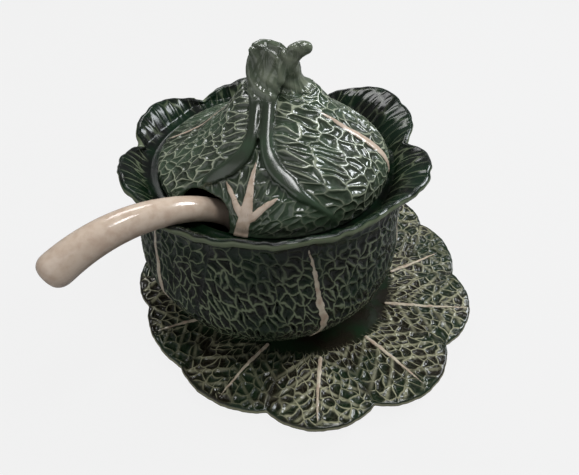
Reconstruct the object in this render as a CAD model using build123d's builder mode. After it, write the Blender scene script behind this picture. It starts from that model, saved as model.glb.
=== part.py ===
from build123d import *
from math import cos, hypot, radians, sin, tan
import os

# A cabbage-leaf soup tureen on its leaf plate, with a lid and a ladle.
# Millimetres and degrees, +Z up, -Y to the front. The origin is the centre of the plate's foot.
# Each of the four pieces is one fired piece of glazed earthenware.

# ---- Tureen bowl: radii about its own axis, heights above its foot ----
TUREEN_X = -33  # the tureen stands off-centre in the plate's well
TUREEN_Y = 8
FOOT_RADIUS = 46
FOOT_HEIGHT = 7
FOOT_RING = 9  # width of the ring it stands on
HIP_RADIUS = 102
HIP_HEIGHT = 28
HIP_SLOPE = 35  # the wall's slope there
BELLY_RADIUS = 117
BELLY_HEIGHT = 62
NECK_RADIUS = 112.5
NECK_HEIGHT = 134
COLLAR_REACH = 29.5  # the flared collar beyond the neck, before its petals are cut
COLLAR_RISE = 29
BOWL_WALL = 6
COLLAR_WALL = 4.5
LEAF_RAISE = 1.6  # the outer leaves stand proud of the ones behind them
LEAVES = ((-121, 84), (24, 70), (150, 62))  # azimuth where each outer leaf starts, and its span
BOWL_RIBS = (-70, -8, 60, 122, 177, 222)  # azimuth of each leaf's midrib
RIB_RAISE = 3.2
RIB_SPAN = 2.4
# Azimuth and reach beyond the neck of each petal's tip, and of the notch that follows it.
PETALS = (
    ((-79, 8.5), (-38, 4.5)),
    ((-13, 18), (6, 2.5)),
    ((38, 19.5), (63, -0.5)),
    ((98, 5.5), (128, -2)),
    ((161, 7), (188, -1.5)),
    ((208, 10), (221, 3.5)),
    ((233, 11.5), (244, 6.5)),
)

# ---- Underplate ----
PLATE_FLOOR = 7  # thickness at the well
PLATE_NOTCH_RADIUS = 155  # to the notches between the lobes
# Azimuth of each leaf lobe and its reach beyond the notches: the rim isn't quite regular.
PLATE_LOBES = (
    (-84, 13),
    (-50, 14),
    (-14, 13),
    (17, 8),
    (43, 10),
    (79, 11),
    (115, 10),
    (150, 11),
    (186, 9),
    (212, 5),
    (243, 8),
)
WELL_ROOM = 8  # between the tureen's foot and the well's edge, where they come nearest
WELL_FILLET = 12
PLATE_FOOT_RADIUS = 72
PLATE_RIM_THICKNESS = 4.5
PLATE_RISE = 13  # the rim's top above the well
PLATE_RIB_INSET = 6  # from the well's edge to where a rib starts
PLATE_RIB_MARGIN = 16  # a rib ends this far short of its lobe's tip
PLATE_RIB_ROOT = 2.6  # radius of a rib at its inner end
PLATE_RIB_TIP = 0.9
PLATE_CREASE_ROOT = 0.8  # radius of the crease between two lobes, near the well
PLATE_CREASE_END = 2.2  # and at their notch

# ---- Lid, and the seat for it inside the bowl's neck: heights above the seat ----
SEAT_RISE = 7  # the seat above the neck
SEAT_WIDTH = 14
SEAT_DEPTH = 8
LID_GAP = 7.5  # between the lid's edge and the bowl's wall
LID_WALL = 6
LID_LEAF = 2.5  # thickness of the leaves that wrap the dome
LID_LEAF_LIFT = 3  # the wrapping leaves stop this far above the seat
LID_SHOULDER = 8  # height of the lid's upright edge
LID_HEIGHT = 69
# The dome leans to one side: height above the seat, then how far in from the lid's edge its face is
# on the side that it leans to and on the far side.
LID_LEAN = -50  # azimuth
DOME_LEVELS = (
    (17, 2, 16.5),
    (26, 9, 34.5),
    (34, 20.5, 44.5),
    (45, 40, 58),
    (55, 55.5, 68),
    (63, 70, 78),
    (67.5, 82.5, 86.5),
)
LIP_CLEARANCE = 1
LIP_THICKNESS = 5
LIP_DEPTH = 6
# The wrapping leaves part at the front: radius and azimuth of the apex, and of each edge's middle.
LEAVES_PART = (59, -100)
RIGHT_EDGE = (79, -81)
LEFT_EDGE = (72, -118)
RIGHT_EDGE_END = -57  # azimuth where each edge meets the lid's rim
LEFT_EDGE_END = -153
# The leaves' rolled edges and the stalks on the lid: radius and azimuth of points on the dome, from the rim up.
RIGHT_ROLL = ((94, -59), (81, -73.5), (66, -84), (46, -90), (22, -88))
LEFT_ROLL = ((94, -147), (77, -122), (61, -108.5), (46, -105), (22, -115))
ROLL_RIM_RADIUS = 2.8
ROLL_TOP_RADIUS = 5
RIGHT_RIB = ((95, -16), (72, -9.5), (48, -16), (26, -30))
LEFT_RIB = ((95, -167), (70, -170), (47, -171), (26, -157))
LID_RIB_RIM_RADIUS = 2.6
LID_RIB_TOP_RADIUS = 1.2
FRONT_STALK = ((95.5, -99), (89, -98), (80, -98.5), (62, -98))
FRONT_PRONGS = (((91, -100), (84, -105), (77, -111)), ((91, -97), (88, -91), (83, -85)))
STALK_RIM_RADIUS = 4.6
STALK_TOP_RADIUS = 1
PRONG_ROOT_RADIUS = 2.6
# Sections of the knob's leaf tips: share of the tip's height, centre, half width and half depth.
BROAD_TIP_RISE = 41  # above the dome's crown
BROAD_TIP = ((0, -2, -4, 19, 13), (0.35, -3, -4, 14.5, 9), (0.7, -3, -5, 15.5, 8), (0.93, -3, -4, 10, 5.5))
CURLED_TIP_RISE = 37
CURLED_TIP = ((0, 9, 2, 12, 11), (0.4, 12, 1, 8, 8), (0.75, 16, 0, 8, 6), (1, 20, -1, 8, 4))
TIP_FILLET = 2

# ---- Ladle ----
LADLE_ANGLE = 219.4  # azimuth that the handle points to
LADLE_REACH = 26.7  # how far the ladle's upright plane passes from the tureen's axis
CUP_ALONG = 7  # the cup's centre along that plane, from its nearest point to the axis
CUP_RADIUS = 35
CUP_WALL = 3.5
CUP_DEPTH = 34  # from the cup's widest line to its base
CUP_RIM = 2  # the upright edge above that line
CUP_BASE_RADIUS = 12
CUP_FULLNESS = 0.74  # how far its side bulges: share of the radius and depth half way round
HANDLE_ROOT_RADIUS = 9
HANDLE_NECK_RADIUS = 9.5
HANDLE_END_RADIUS = 12.5
HANDLE_ROOT_DROP = 12  # the handle starts this far below the cup's widest line
HANDLE_RISE = 14  # height above the seat where the handle bends to leave
HANDLE_BEND_INSET = 12.5  # that bend, in from the lid's edge
HANDLE_KNEE_DROP = 30  # the lower bend, below the seat
HANDLE_OVERHANG = 41.5  # the outer bend, beyond the neck
HANDLE_OVERHANG_RISE = 15  # the outer bend above the inner one
HANDLE_END_ALONG = 34  # the end, out from the outer bend
HANDLE_END_DROP = 16
NOTCH_ANGLE = 240  # azimuth of the arch in the lid that the handle leaves by
NOTCH_SIDE_ROOM = 17.5  # beside the handle's neck
NOTCH_TOP_ROOM = 2
NOTCH_CORNER = 16
SADDLE_ANGLE = 232  # azimuth of the dip in the rim under the handle
SADDLE_RADIUS = 68
SADDLE_RISE = 7  # bottom of the dip above the seat

# ---- Worked out from these ----
FOOT_Z = PLATE_FLOOR
FLOOR_Z = FOOT_Z + FOOT_HEIGHT + BOWL_WALL
NECK_Z = FOOT_Z + NECK_HEIGHT
SEAT_Z = NECK_Z + SEAT_RISE
NECK_INSIDE = NECK_RADIUS - BOWL_WALL
SEAT_BORE_RADIUS = NECK_INSIDE - SEAT_WIDTH
LID_RADIUS = NECK_INSIDE - LID_GAP - LID_LEAF
LIP_RADIUS = SEAT_BORE_RADIUS - LIP_CLEARANCE
LIP_INSIDE = LIP_RADIUS - LIP_THICKNESS
NOTCH_HALF_WIDTH = HANDLE_NECK_RADIUS + NOTCH_SIDE_ROOM
NOTCH_HEIGHT = HANDLE_RISE + HANDLE_NECK_RADIUS + NOTCH_TOP_ROOM
PLATE_WELL_RADIUS = hypot(TUREEN_X, TUREEN_Y) + FOOT_RADIUS + WELL_ROOM
PLATE_RADIUS = PLATE_NOTCH_RADIUS + max(reach for azimuth, reach in PLATE_LOBES) + 1
PLATE_RIM_Z = PLATE_FLOOR + PLATE_RISE
TUREEN_AXIS = Axis((TUREEN_X, TUREEN_Y, 0), (0, 0, 1))


def from_centre(radius, azimuth):
    """A point about the plate's axis, in the plane of the table."""
    return (radius * cos(radians(azimuth)), radius * sin(radians(azimuth)))


def from_tureen(radius, azimuth):
    """A point about the tureen's axis, in the plane of the table."""
    x, y = from_centre(radius, azimuth)
    return (TUREEN_X + x, TUREEN_Y + y)


def upright(azimuth, centre=(TUREEN_X, TUREEN_Y)):
    """An upright plane through an axis: its x runs out along the azimuth, its y is up."""
    out = (*from_centre(1, azimuth), 0)
    across = (*from_centre(1, azimuth - 90), 0)
    return Plane(origin=(*centre, 0), x_dir=out, z_dir=across)


def body_points(proud=0):
    """The bowl's outer line from the foot to the neck, pushed out by a relief."""
    return [
        (FOOT_RADIUS + BOWL_WALL + proud, FOOT_Z + FOOT_HEIGHT),
        (HIP_RADIUS + proud, FOOT_Z + HIP_HEIGHT),
        (BELLY_RADIUS + proud, FOOT_Z + BELLY_HEIGHT),
        (NECK_RADIUS + proud, NECK_Z),
    ]


def dome_circles(proud=0):
    """Height, centre and radius of the circles that the dome passes through, pushed out by a thickness."""
    levels = [(LID_SHOULDER, 0, 0), *DOME_LEVELS, (LID_HEIGHT, LID_RADIUS - LID_WALL, LID_RADIUS - LID_WALL)]
    circles = []
    for height, near_inset, far_inset in levels:
        radius = LID_RADIUS - (near_inset + far_inset) / 2
        flatness = (1 - radius / LID_RADIUS) ** 0.5
        centre = from_tureen((far_inset - near_inset) / 2, LID_LEAN)
        circles.append((SEAT_Z + height + flatness * proud, centre, radius + proud * (1 - flatness / 2)))
    return circles


def over_dome(points, dome):
    """Points on top of the lid, from the radius and azimuth of each."""
    placed = []
    for radius, azimuth in points:
        upward = Axis((*from_tureen(radius, azimuth), 0), (0, 0, 1))
        crossings = [point for point, normal in dome.find_intersection_points(upward)]
        placed.append(max(crossings, key=lambda point: point.Z))
    return placed


def bend_radii(points):
    """The largest easy radius for each corner of a path: its arcs use most of each run."""
    radii = []
    for before, corner, after in zip(points, points[1:], points[2:]):
        arriving = Vector(*corner) - Vector(*before)
        leaving = Vector(*after) - Vector(*corner)
        turn = arriving.get_angle(leaving)
        radii.append(0.45 * min(arriving.length, leaving.length) / tan(radians(turn / 2)))
    return radii


# ---------------------------------------------------------------- underplate
with BuildPart() as underplate:
    with BuildSketch(Plane.XZ):
        with BuildLine():
            Polyline(
                (0, 0),
                (PLATE_FOOT_RADIUS, 0),
                (PLATE_FOOT_RADIUS + PLATE_RIM_THICKNESS, PLATE_FLOOR - PLATE_RIM_THICKNESS),
                (PLATE_RADIUS, PLATE_RIM_Z - PLATE_RIM_THICKNESS),
                (PLATE_RADIUS, PLATE_RIM_Z),
                (PLATE_WELL_RADIUS, PLATE_FLOOR),
                (0, PLATE_FLOOR),
                close=True,
            )
        make_face()
    revolve(axis=Axis.Z)
    circles = underplate.edges().filter_by(GeomType.CIRCLE)
    fillet(circles.filter_by(lambda edge: abs(edge.radius - PLATE_WELL_RADIUS) < 0.01), radius=WELL_FILLET)
    # The round blank is trimmed to its leaf lobes.
    with BuildSketch():
        with BuildLine():
            for i, (azimuth, reach) in enumerate(PLATE_LOBES):
                before = PLATE_LOBES[i - 1][0]
                after = PLATE_LOBES[(i + 1) % len(PLATE_LOBES)][0]
                ThreePointArc(
                    from_centre(PLATE_NOTCH_RADIUS, azimuth - ((azimuth - before) % 360) / 2),
                    from_centre(PLATE_NOTCH_RADIUS + reach, azimuth),
                    from_centre(PLATE_NOTCH_RADIUS, azimuth + ((after - azimuth) % 360) / 2),
                )
        make_face()
    extrude(amount=PLATE_RIM_Z, mode=Mode.INTERSECT)
    # A midrib lies half sunk in each leaf, along the plate's slope.
    slope = PLATE_RISE / (PLATE_RADIUS - PLATE_WELL_RADIUS)
    rib_start = PLATE_WELL_RADIUS + PLATE_RIB_INSET
    for azimuth, reach in PLATE_LOBES:
        rib_root = (*from_centre(rib_start, azimuth), PLATE_FLOOR + slope * PLATE_RIB_INSET)
        rib_length = PLATE_NOTCH_RADIUS + reach - PLATE_RIB_MARGIN - rib_start
        with Locations(Plane(origin=rib_root, z_dir=(*from_centre(1, azimuth), slope))):
            Cone(PLATE_RIB_ROOT, PLATE_RIB_TIP, rib_length, align=(Align.CENTER, Align.CENTER, Align.MIN))
    # A shallow crease runs out to each notch, where two leaves meet.
    crease_length = PLATE_RADIUS - rib_start
    for i, (azimuth, reach) in enumerate(PLATE_LOBES):
        after = PLATE_LOBES[(i + 1) % len(PLATE_LOBES)][0]
        notch = azimuth + ((after - azimuth) % 360) / 2
        crease_root = (*from_centre(rib_start, notch), PLATE_FLOOR + slope * PLATE_RIB_INSET)
        with Locations(Plane(origin=crease_root, z_dir=(*from_centre(1, notch), slope))):
            Cone(
                PLATE_CREASE_ROOT,
                PLATE_CREASE_END,
                crease_length,
                align=(Align.CENTER, Align.CENTER, Align.MIN),
                mode=Mode.SUBTRACT,
            )

# ---------------------------------------------------------------- tureen bowl
with BuildPart() as tureen_bowl:
    with BuildSketch(upright(0)):
        with BuildLine():
            foot_top = (FOOT_RADIUS, FOOT_Z + FOOT_HEIGHT)
            Polyline((0, FLOOR_Z), (0, FOOT_Z), (FOOT_RADIUS, FOOT_Z), foot_top, body_points()[0])
            body = Spline(*body_points(), tangents=[(1, 0.12), (0, 1)])
            collar_edge = (NECK_RADIUS + COLLAR_REACH, NECK_Z + COLLAR_RISE)
            flare = Spline(body @ 1, collar_edge, tangents=[(0, 1), (1, 0.3)])
            edge = Line(flare @ 1, flare @ 1 + Vector(-1, COLLAR_WALL))
            throat = Spline(edge @ 1, (NECK_INSIDE, SEAT_Z), tangents=[(-1, -0.3), (0, -1)])
            wall_top = (NECK_INSIDE, SEAT_Z - SEAT_DEPTH - SEAT_WIDTH)
            under_seat = (SEAT_BORE_RADIUS, SEAT_Z - SEAT_DEPTH)
            Polyline(throat @ 1, (SEAT_BORE_RADIUS, SEAT_Z), under_seat, wall_top)
            hip_x = HIP_RADIUS - BOWL_WALL * sin(radians(HIP_SLOPE))
            hip_z = FOOT_Z + HIP_HEIGHT + BOWL_WALL * cos(radians(HIP_SLOPE))
            inside = Spline(
                wall_top,
                (BELLY_RADIUS - BOWL_WALL, FOOT_Z + BELLY_HEIGHT),
                (hip_x, hip_z),
                (FOOT_RADIUS, FLOOR_Z),
                tangents=[(0, -1), (-1, 0)],
            )
            Line(inside @ 1, (0, FLOOR_Z))
        make_face()
    revolve(axis=TUREEN_AXIS)
    with BuildSketch(Plane.XY.offset(FOOT_Z)):
        with Locations((TUREEN_X, TUREEN_Y)):
            Circle(FOOT_RADIUS - FOOT_RING)
    extrude(amount=FOOT_HEIGHT, mode=Mode.SUBTRACT)
    # Outer leaves and midribs: slices of the same body that stand proud of it.
    reliefs = [(start, span, LEAF_RAISE) for start, span in LEAVES]
    reliefs += [(azimuth - RIB_SPAN / 2, RIB_SPAN, RIB_RAISE) for azimuth in BOWL_RIBS]
    for start, span, proud in reliefs:
        with BuildSketch(upright(start)):
            with BuildLine():
                outer = Spline(*body_points(proud), tangents=[(1, 0.12), (0, 1)])
                inner = Spline(*body_points(-BOWL_WALL / 2), tangents=[(1, 0.12), (0, 1)])
                Line(outer @ 0, inner @ 0)
                Line(outer @ 1, inner @ 1)
            make_face()
        revolve(axis=TUREEN_AXIS, revolution_arc=span)
    # The collar is trimmed to petals, which stand higher the further out they reach.
    with BuildSketch(Plane.XY.offset(NECK_Z)):
        with Locations((TUREEN_X, TUREEN_Y)):
            Circle(NECK_RADIUS + COLLAR_REACH + COLLAR_WALL)
        with BuildLine():
            for i, (tip, notch) in enumerate(PETALS):
                ends = (PETALS[i - 1][1], tip, notch)
                ThreePointArc(*[from_tureen(NECK_RADIUS + reach, azimuth) for azimuth, reach in ends])
        make_face(mode=Mode.SUBTRACT)
    extrude(amount=COLLAR_RISE + 2 * COLLAR_WALL, mode=Mode.SUBTRACT)
    # The rim dips under the ladle's handle.
    with BuildSketch(upright(SADDLE_ANGLE + 90)):
        with Locations((0, SEAT_Z + SADDLE_RISE + SADDLE_RADIUS)):
            Circle(SADDLE_RADIUS)
    extrude(amount=NECK_RADIUS + COLLAR_REACH + COLLAR_WALL, mode=Mode.SUBTRACT)

# ---------------------------------------------------------------- lid
# The two leaves that wrap the dome, open at the front over the leaf below them.
with BuildPart() as wrapping_leaves:
    for proud, mode in ((LID_LEAF, Mode.ADD), (-LID_WALL / 2, Mode.SUBTRACT)):
        for height, centre, radius in dome_circles(proud):
            with BuildSketch(Plane.XY.offset(height)):
                with Locations(centre):
                    Circle(radius)
        loft(mode=mode)
    with BuildSketch(Plane.XY.offset(SEAT_Z + LID_LEAF_LIFT)):
        with Locations((TUREEN_X, TUREEN_Y)):
            Circle(LID_RADIUS + LID_LEAF)
            Circle(LID_RADIUS - LID_WALL / 2, mode=Mode.SUBTRACT)
    extrude(amount=LID_SHOULDER - LID_LEAF_LIFT)
    with BuildSketch(Plane.XY.offset(SEAT_Z)):
        with Locations((TUREEN_X, TUREEN_Y)):
            with BuildLine():
                past_rim = LID_RADIUS + LID_LEAF + LID_GAP
                apex = from_centre(*LEAVES_PART)
                right = ThreePointArc(apex, from_centre(*RIGHT_EDGE), from_centre(past_rim, RIGHT_EDGE_END))
                left = ThreePointArc(apex, from_centre(*LEFT_EDGE), from_centre(past_rim, LEFT_EDGE_END))
                corner_angles = (RIGHT_EDGE_END, LEAVES_PART[1], LEFT_EDGE_END)
                corners = [from_centre(2 * past_rim, azimuth) for azimuth in corner_angles]
                Polyline(right @ 1, *corners, left @ 1)
            make_face()
    extrude(amount=LID_HEIGHT, mode=Mode.SUBTRACT)

with BuildPart() as lid:
    for height, centre, radius in dome_circles():
        with BuildSketch(Plane.XY.offset(height)):
            with Locations(centre):
                Circle(radius)
    loft()
    for bottom, top, radius in ((0, LID_SHOULDER, LID_RADIUS), (-LIP_DEPTH, 0, LIP_RADIUS)):
        with BuildSketch(Plane.XY.offset(SEAT_Z + bottom)):
            with Locations((TUREEN_X, TUREEN_Y)):
                Circle(radius)
        extrude(amount=top - bottom)
    for height, centre, radius in dome_circles(-LID_WALL):
        with BuildSketch(Plane.XY.offset(height)):
            with Locations(centre):
                Circle(radius)
    loft(mode=Mode.SUBTRACT)
    with BuildSketch(Plane.XY.offset(SEAT_Z - LIP_DEPTH)):
        with Locations((TUREEN_X, TUREEN_Y)):
            Circle(LIP_INSIDE)
    extrude(amount=LIP_DEPTH + LID_SHOULDER, mode=Mode.SUBTRACT)
    front_leaf = lid.part
    add(wrapping_leaves.part)
    bare_dome = lid.part
    # The knob: a narrow leaf tip that curls over, and a broad upright one beside it.
    knob_root = LID_HEIGHT - LID_WALL / 2
    for tip, rise in ((CURLED_TIP, CURLED_TIP_RISE), (BROAD_TIP, BROAD_TIP_RISE)):
        for share, x, y, half_width, half_depth in tip:
            height = knob_root + share * (LID_HEIGHT + rise - knob_root)
            with BuildSketch(Plane.XY.offset(SEAT_Z + height)):
                with Locations((TUREEN_X + x, TUREEN_Y + y)):
                    Ellipse(half_width, half_depth)
        loft()
    fillet(lid.edges().group_by(Axis.Z)[-1], radius=TIP_FILLET)
    # The rolled edges, which run up into the knob, then the midribs and the front leaf's forked stalk.
    stems = [(roll, ROLL_RIM_RADIUS, ROLL_TOP_RADIUS, bare_dome) for roll in (RIGHT_ROLL, LEFT_ROLL)]
    stems += [(rib, LID_RIB_RIM_RADIUS, LID_RIB_TOP_RADIUS, bare_dome) for rib in (RIGHT_RIB, LEFT_RIB)]
    stems += [(FRONT_STALK, STALK_RIM_RADIUS, STALK_TOP_RADIUS, front_leaf)]
    stems += [(prong, PRONG_ROOT_RADIUS, STALK_TOP_RADIUS, front_leaf) for prong in FRONT_PRONGS]
    for stem_points, start_radius, end_radius, dome in stems:
        placed_points = over_dome(stem_points, dome)
        with BuildLine() as stem_line:
            FilletPolyline(*placed_points, radius=bend_radii(placed_points))
        stem = stem_line.line
        for share, radius in ((0, start_radius), (1, end_radius)):
            with BuildSketch(Plane(origin=stem @ share, z_dir=stem % share)):
                Circle(radius)
        sweep(path=stem, multisection=True)
        with Locations(stem @ 0):
            Sphere(start_radius)
        with Locations(stem @ 1):
            Sphere(end_radius)
    # The arch for the ladle's handle, through the rim and the lip.
    with BuildSketch(upright(NOTCH_ANGLE + 90)):
        with Locations((0, SEAT_Z + NOTCH_HEIGHT)):
            arch_size = (2 * NOTCH_HALF_WIDTH, 2 * NOTCH_HEIGHT)
            RectangleRounded(*arch_size, NOTCH_CORNER, align=(Align.CENTER, Align.MAX))
    extrude(amount=LID_RADIUS + LID_LEAF + LID_GAP, mode=Mode.SUBTRACT)

# ---------------------------------------------------------------- ladle
ladle_centre = from_tureen(LADLE_REACH, LADLE_ANGLE + 90)
ladle_plane = upright(LADLE_ANGLE, ladle_centre)
cup_x, cup_y = [a + b for a, b in zip(ladle_centre, from_centre(CUP_ALONG, LADLE_ANGLE))]
cup_plane = upright(LADLE_ANGLE, (cup_x, cup_y))
cup_axis = Axis((cup_x, cup_y, 0), (0, 0, 1))
widest_z = FLOOR_Z + CUP_DEPTH
cup_top_z = widest_z + CUP_RIM
inner_radius = CUP_RADIUS - CUP_WALL
# The handle's centre line in the ladle's upright plane: out from the axis, and up.
cup_side = CUP_ALONG + CUP_RADIUS
outer_bend = (NECK_RADIUS + HANDLE_OVERHANG, SEAT_Z + HANDLE_RISE + HANDLE_OVERHANG_RISE)
handle_points = [
    (cup_side, widest_z - HANDLE_ROOT_DROP),
    (cup_side - 1, SEAT_Z - HANDLE_KNEE_DROP),
    (LID_RADIUS - HANDLE_BEND_INSET, SEAT_Z + HANDLE_RISE),
    outer_bend,
    (outer_bend[0] + HANDLE_END_ALONG, outer_bend[1] - HANDLE_END_DROP),
]
with BuildPart() as ladle:
    with BuildSketch(cup_plane):
        with BuildLine():
            low_side = (CUP_RADIUS * CUP_FULLNESS, widest_z - CUP_DEPTH * CUP_FULLNESS)
            shell = ThreePointArc((CUP_BASE_RADIUS, FLOOR_Z), low_side, (CUP_RADIUS, widest_z))
            Polyline(shell @ 1, (CUP_RADIUS, cup_top_z), (0, cup_top_z), (0, FLOOR_Z), shell @ 0)
        make_face()
    revolve(axis=cup_axis)
    with BuildLine(ladle_plane) as handle_line:
        FilletPolyline(*handle_points, radius=bend_radii(handle_points))
    centre_line = handle_line.line
    for share, radius in ((0, HANDLE_ROOT_RADIUS), (0.5, HANDLE_NECK_RADIUS), (1, HANDLE_END_RADIUS)):
        with BuildSketch(Plane(origin=centre_line @ share, z_dir=centre_line % share)):
            Circle(radius)
    sweep(path=centre_line, multisection=True)
    with Locations(centre_line @ 0):
        Sphere(HANDLE_ROOT_RADIUS)
    with Locations(centre_line @ 1):
        Sphere(HANDLE_END_RADIUS)
    # The cup is hollowed last, so that the handle's root doesn't fill it.
    with BuildSketch(cup_plane):
        with BuildLine():
            inner_depth = CUP_DEPTH - CUP_WALL
            inner_side = (inner_radius * sin(radians(45)), widest_z - inner_depth * sin(radians(45)))
            hollow = ThreePointArc((0, FLOOR_Z + CUP_WALL), inner_side, (inner_radius, widest_z))
            Polyline(hollow @ 1, (inner_radius, cup_top_z), (0, cup_top_z), hollow @ 0)
        make_face()
    revolve(axis=cup_axis, mode=Mode.SUBTRACT)

os.makedirs("parts", exist_ok=True)
pieces = {"underplate": underplate, "tureen_bowl": tureen_bowl, "lid": lid, "ladle": ladle}
for name, piece in pieces.items():
    piece.part.label = name
    export_step(piece.part, f"parts/{name}.step")
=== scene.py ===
import math

import bmesh
import bpy
import numpy as np
from mathutils import Matrix, Vector


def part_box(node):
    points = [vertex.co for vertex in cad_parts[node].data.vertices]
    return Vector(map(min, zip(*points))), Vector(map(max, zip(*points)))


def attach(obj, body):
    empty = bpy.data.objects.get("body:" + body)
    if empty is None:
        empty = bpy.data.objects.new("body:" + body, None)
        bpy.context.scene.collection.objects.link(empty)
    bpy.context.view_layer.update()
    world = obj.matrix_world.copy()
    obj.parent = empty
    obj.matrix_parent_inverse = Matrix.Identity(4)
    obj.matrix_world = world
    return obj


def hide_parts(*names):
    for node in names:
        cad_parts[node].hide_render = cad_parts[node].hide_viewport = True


# A cabbage-leaf soup tureen on its leaf plate, with a lid and a ladle, all glazed earthenware.
# Shapes are worked in millimetres and written in metres.
MM = 0.001

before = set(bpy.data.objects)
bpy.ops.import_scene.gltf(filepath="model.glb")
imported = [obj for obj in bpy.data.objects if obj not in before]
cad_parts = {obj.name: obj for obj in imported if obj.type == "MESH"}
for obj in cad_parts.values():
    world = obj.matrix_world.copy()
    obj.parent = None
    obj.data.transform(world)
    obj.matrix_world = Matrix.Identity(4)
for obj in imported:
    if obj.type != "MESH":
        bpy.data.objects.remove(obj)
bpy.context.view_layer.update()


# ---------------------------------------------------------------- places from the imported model
def millimetres(node):
    """A CAD node's lowest and highest corners, in millimetres."""
    low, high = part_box(node)
    return np.array(low) / MM, np.array(high) / MM


lid_low, lid_high = millimetres("lid")
LID_EDGE = (lid_high[0] - lid_low[0]) / 2
AXIS = ((lid_high[0] + lid_low[0]) / 2, lid_high[1] - LID_EDGE)
FOOT_Z = millimetres("tureen_bowl")[0][2]
SEAT_Z = FOOT_Z + 141
NECK_Z = FOOT_Z + 134
PLATE_RIM_Z = millimetres("underplate")[1][2]
OUTSIDE = -99.0  # for points far outside a strip
NO_EDGE = 9.0  # for points with no leaf edge near them, in mm


# ---------------------------------------------------------------- small tools
def smooth(low, high, value):
    """0 below low, 1 above high, eased between."""
    t = np.clip((value - low) / (high - low), 0, 1)
    return t * t * (3 - 2 * t)


def turn_between(azimuth, start):
    """Degrees from start to azimuth, from -180 to 180."""
    return (azimuth - start + 180) % 360 - 180


def through(xs, ys, x):
    """A smooth curve through points whose xs rise."""
    xs, ys = np.asarray(xs, float), np.asarray(ys, float)
    step = np.diff(xs)
    slope = np.diff(ys) / step
    bend = np.zeros_like(ys)
    bend[1:-1] = np.where(slope[:-1] * slope[1:] > 0, (slope[:-1] + slope[1:]) / 2, 0)
    bend[0], bend[-1] = slope[0], slope[-1]
    i = np.clip(np.searchsorted(xs, x) - 1, 0, len(step) - 1)
    t = np.clip((x - xs[i]) / step[i], 0, 1)
    return (
        ys[i] * (1 + 2 * t) * (1 - t) ** 2
        + ys[i + 1] * t * t * (3 - 2 * t)
        + step[i] * (bend[i] * t * (1 - t) ** 2 - bend[i + 1] * t * t * (1 - t))
    )


def ripple(x, seed):
    """A gentle, repeatable waver between about -1 and 1."""
    return (np.sin(x + seed) + np.sin(2.3 * x + 1.7 * seed) * 0.6 + np.sin(4.1 * x + 2.9 * seed) * 0.35) / 1.6


def level(along, across):
    """Rows of points with no height."""
    return np.stack([along, across, 0 * along], 1)


def run_lengths(across, up):
    """Length along a line from its first point to each of its points."""
    return np.concatenate([[0], np.cumsum(np.hypot(np.diff(across), np.diff(up)))])


def polar(points):
    """Radius and azimuth in degrees of rows of points."""
    return np.hypot(points[:, 0], points[:, 1]), np.degrees(np.arctan2(points[:, 1], points[:, 0]))


def on_circle(radius, azimuth):
    return radius * math.cos(math.radians(azimuth)), radius * math.sin(math.radians(azimuth))


def petal_radius(azimuth, petals, roundness):
    """Outline of lobes: each has a tip, and ends in the notch that follows it. All are (azimuth, radius)."""
    radius = np.zeros_like(azimuth)
    for i, (tip, notch) in enumerate(petals):
        before = petals[i - 1][1]
        offset = turn_between(azimuth, tip[0])
        back = turn_between(tip[0], before[0])
        ahead = turn_between(notch[0], tip[0])
        rising = (offset <= 0) & (offset >= -back)
        falling = (offset > 0) & (offset <= ahead)
        share = np.where(rising, -offset / back, offset / ahead)
        start = np.where(rising, before[1], notch[1])
        lobe = start + (tip[1] - start) * (1 - np.abs(share) ** roundness)
        radius = np.where(rising | falling, lobe, radius)
    return radius


def distance_to_line(points, line, widths, normals=None):
    """How far inside a tapering strip each point is, in mm, and how far along the strip, 0 to 1.

    Where normals are given, distance off the surface hardly counts."""
    line = np.asarray(line, float)
    lengths = np.linalg.norm(np.diff(line, axis=0), axis=1)
    total = lengths.sum()
    inside = np.full(len(points), OUTSIDE)
    along = np.zeros(len(points))
    done = 0
    for a, b, length in zip(line, line[1:], lengths):
        t = np.clip(((points - a) @ (b - a)) / length**2, 0, 1)
        away = points - (a + t[:, None] * (b - a))
        squared = (away**2).sum(1)
        if normals is not None:
            squared = squared - 0.93 * (away * normals).sum(1) ** 2
        share = (done + t * length) / total
        depth = np.interp(share, np.linspace(0, 1, len(widths)), widths) - np.sqrt(np.maximum(squared, 0))
        nearer = depth > inside
        inside = np.where(nearer, depth, inside)
        along = np.where(nearer, share, along)
        done += length
    return inside, along


# ---------------------------------------------------------------- the leaf pattern
def add(tree, kind, inputs=(), **settings):
    node = tree.nodes.new(kind)
    for key, value in settings.items():
        setattr(node, key, value)
    for socket, value in dict(inputs).items():
        if isinstance(value, bpy.types.NodeSocket):
            tree.links.new(value, node.inputs[socket])
        else:
            node.inputs[socket].default_value = value
    return node


def sums(tree, operation, a, b=0.0, c=0.0):
    return add(tree, "ShaderNodeMath", {0: a, 1: b, 2: c}, operation=operation).outputs[0]


def eased(tree, value, low, high, start=0.0, end=1.0):
    inputs = {"Value": value, "From Min": low, "From Max": high, "To Min": start, "To Max": end}
    return add(tree, "ShaderNodeMapRange", inputs, interpolation_type="SMOOTHSTEP").outputs[0]


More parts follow.
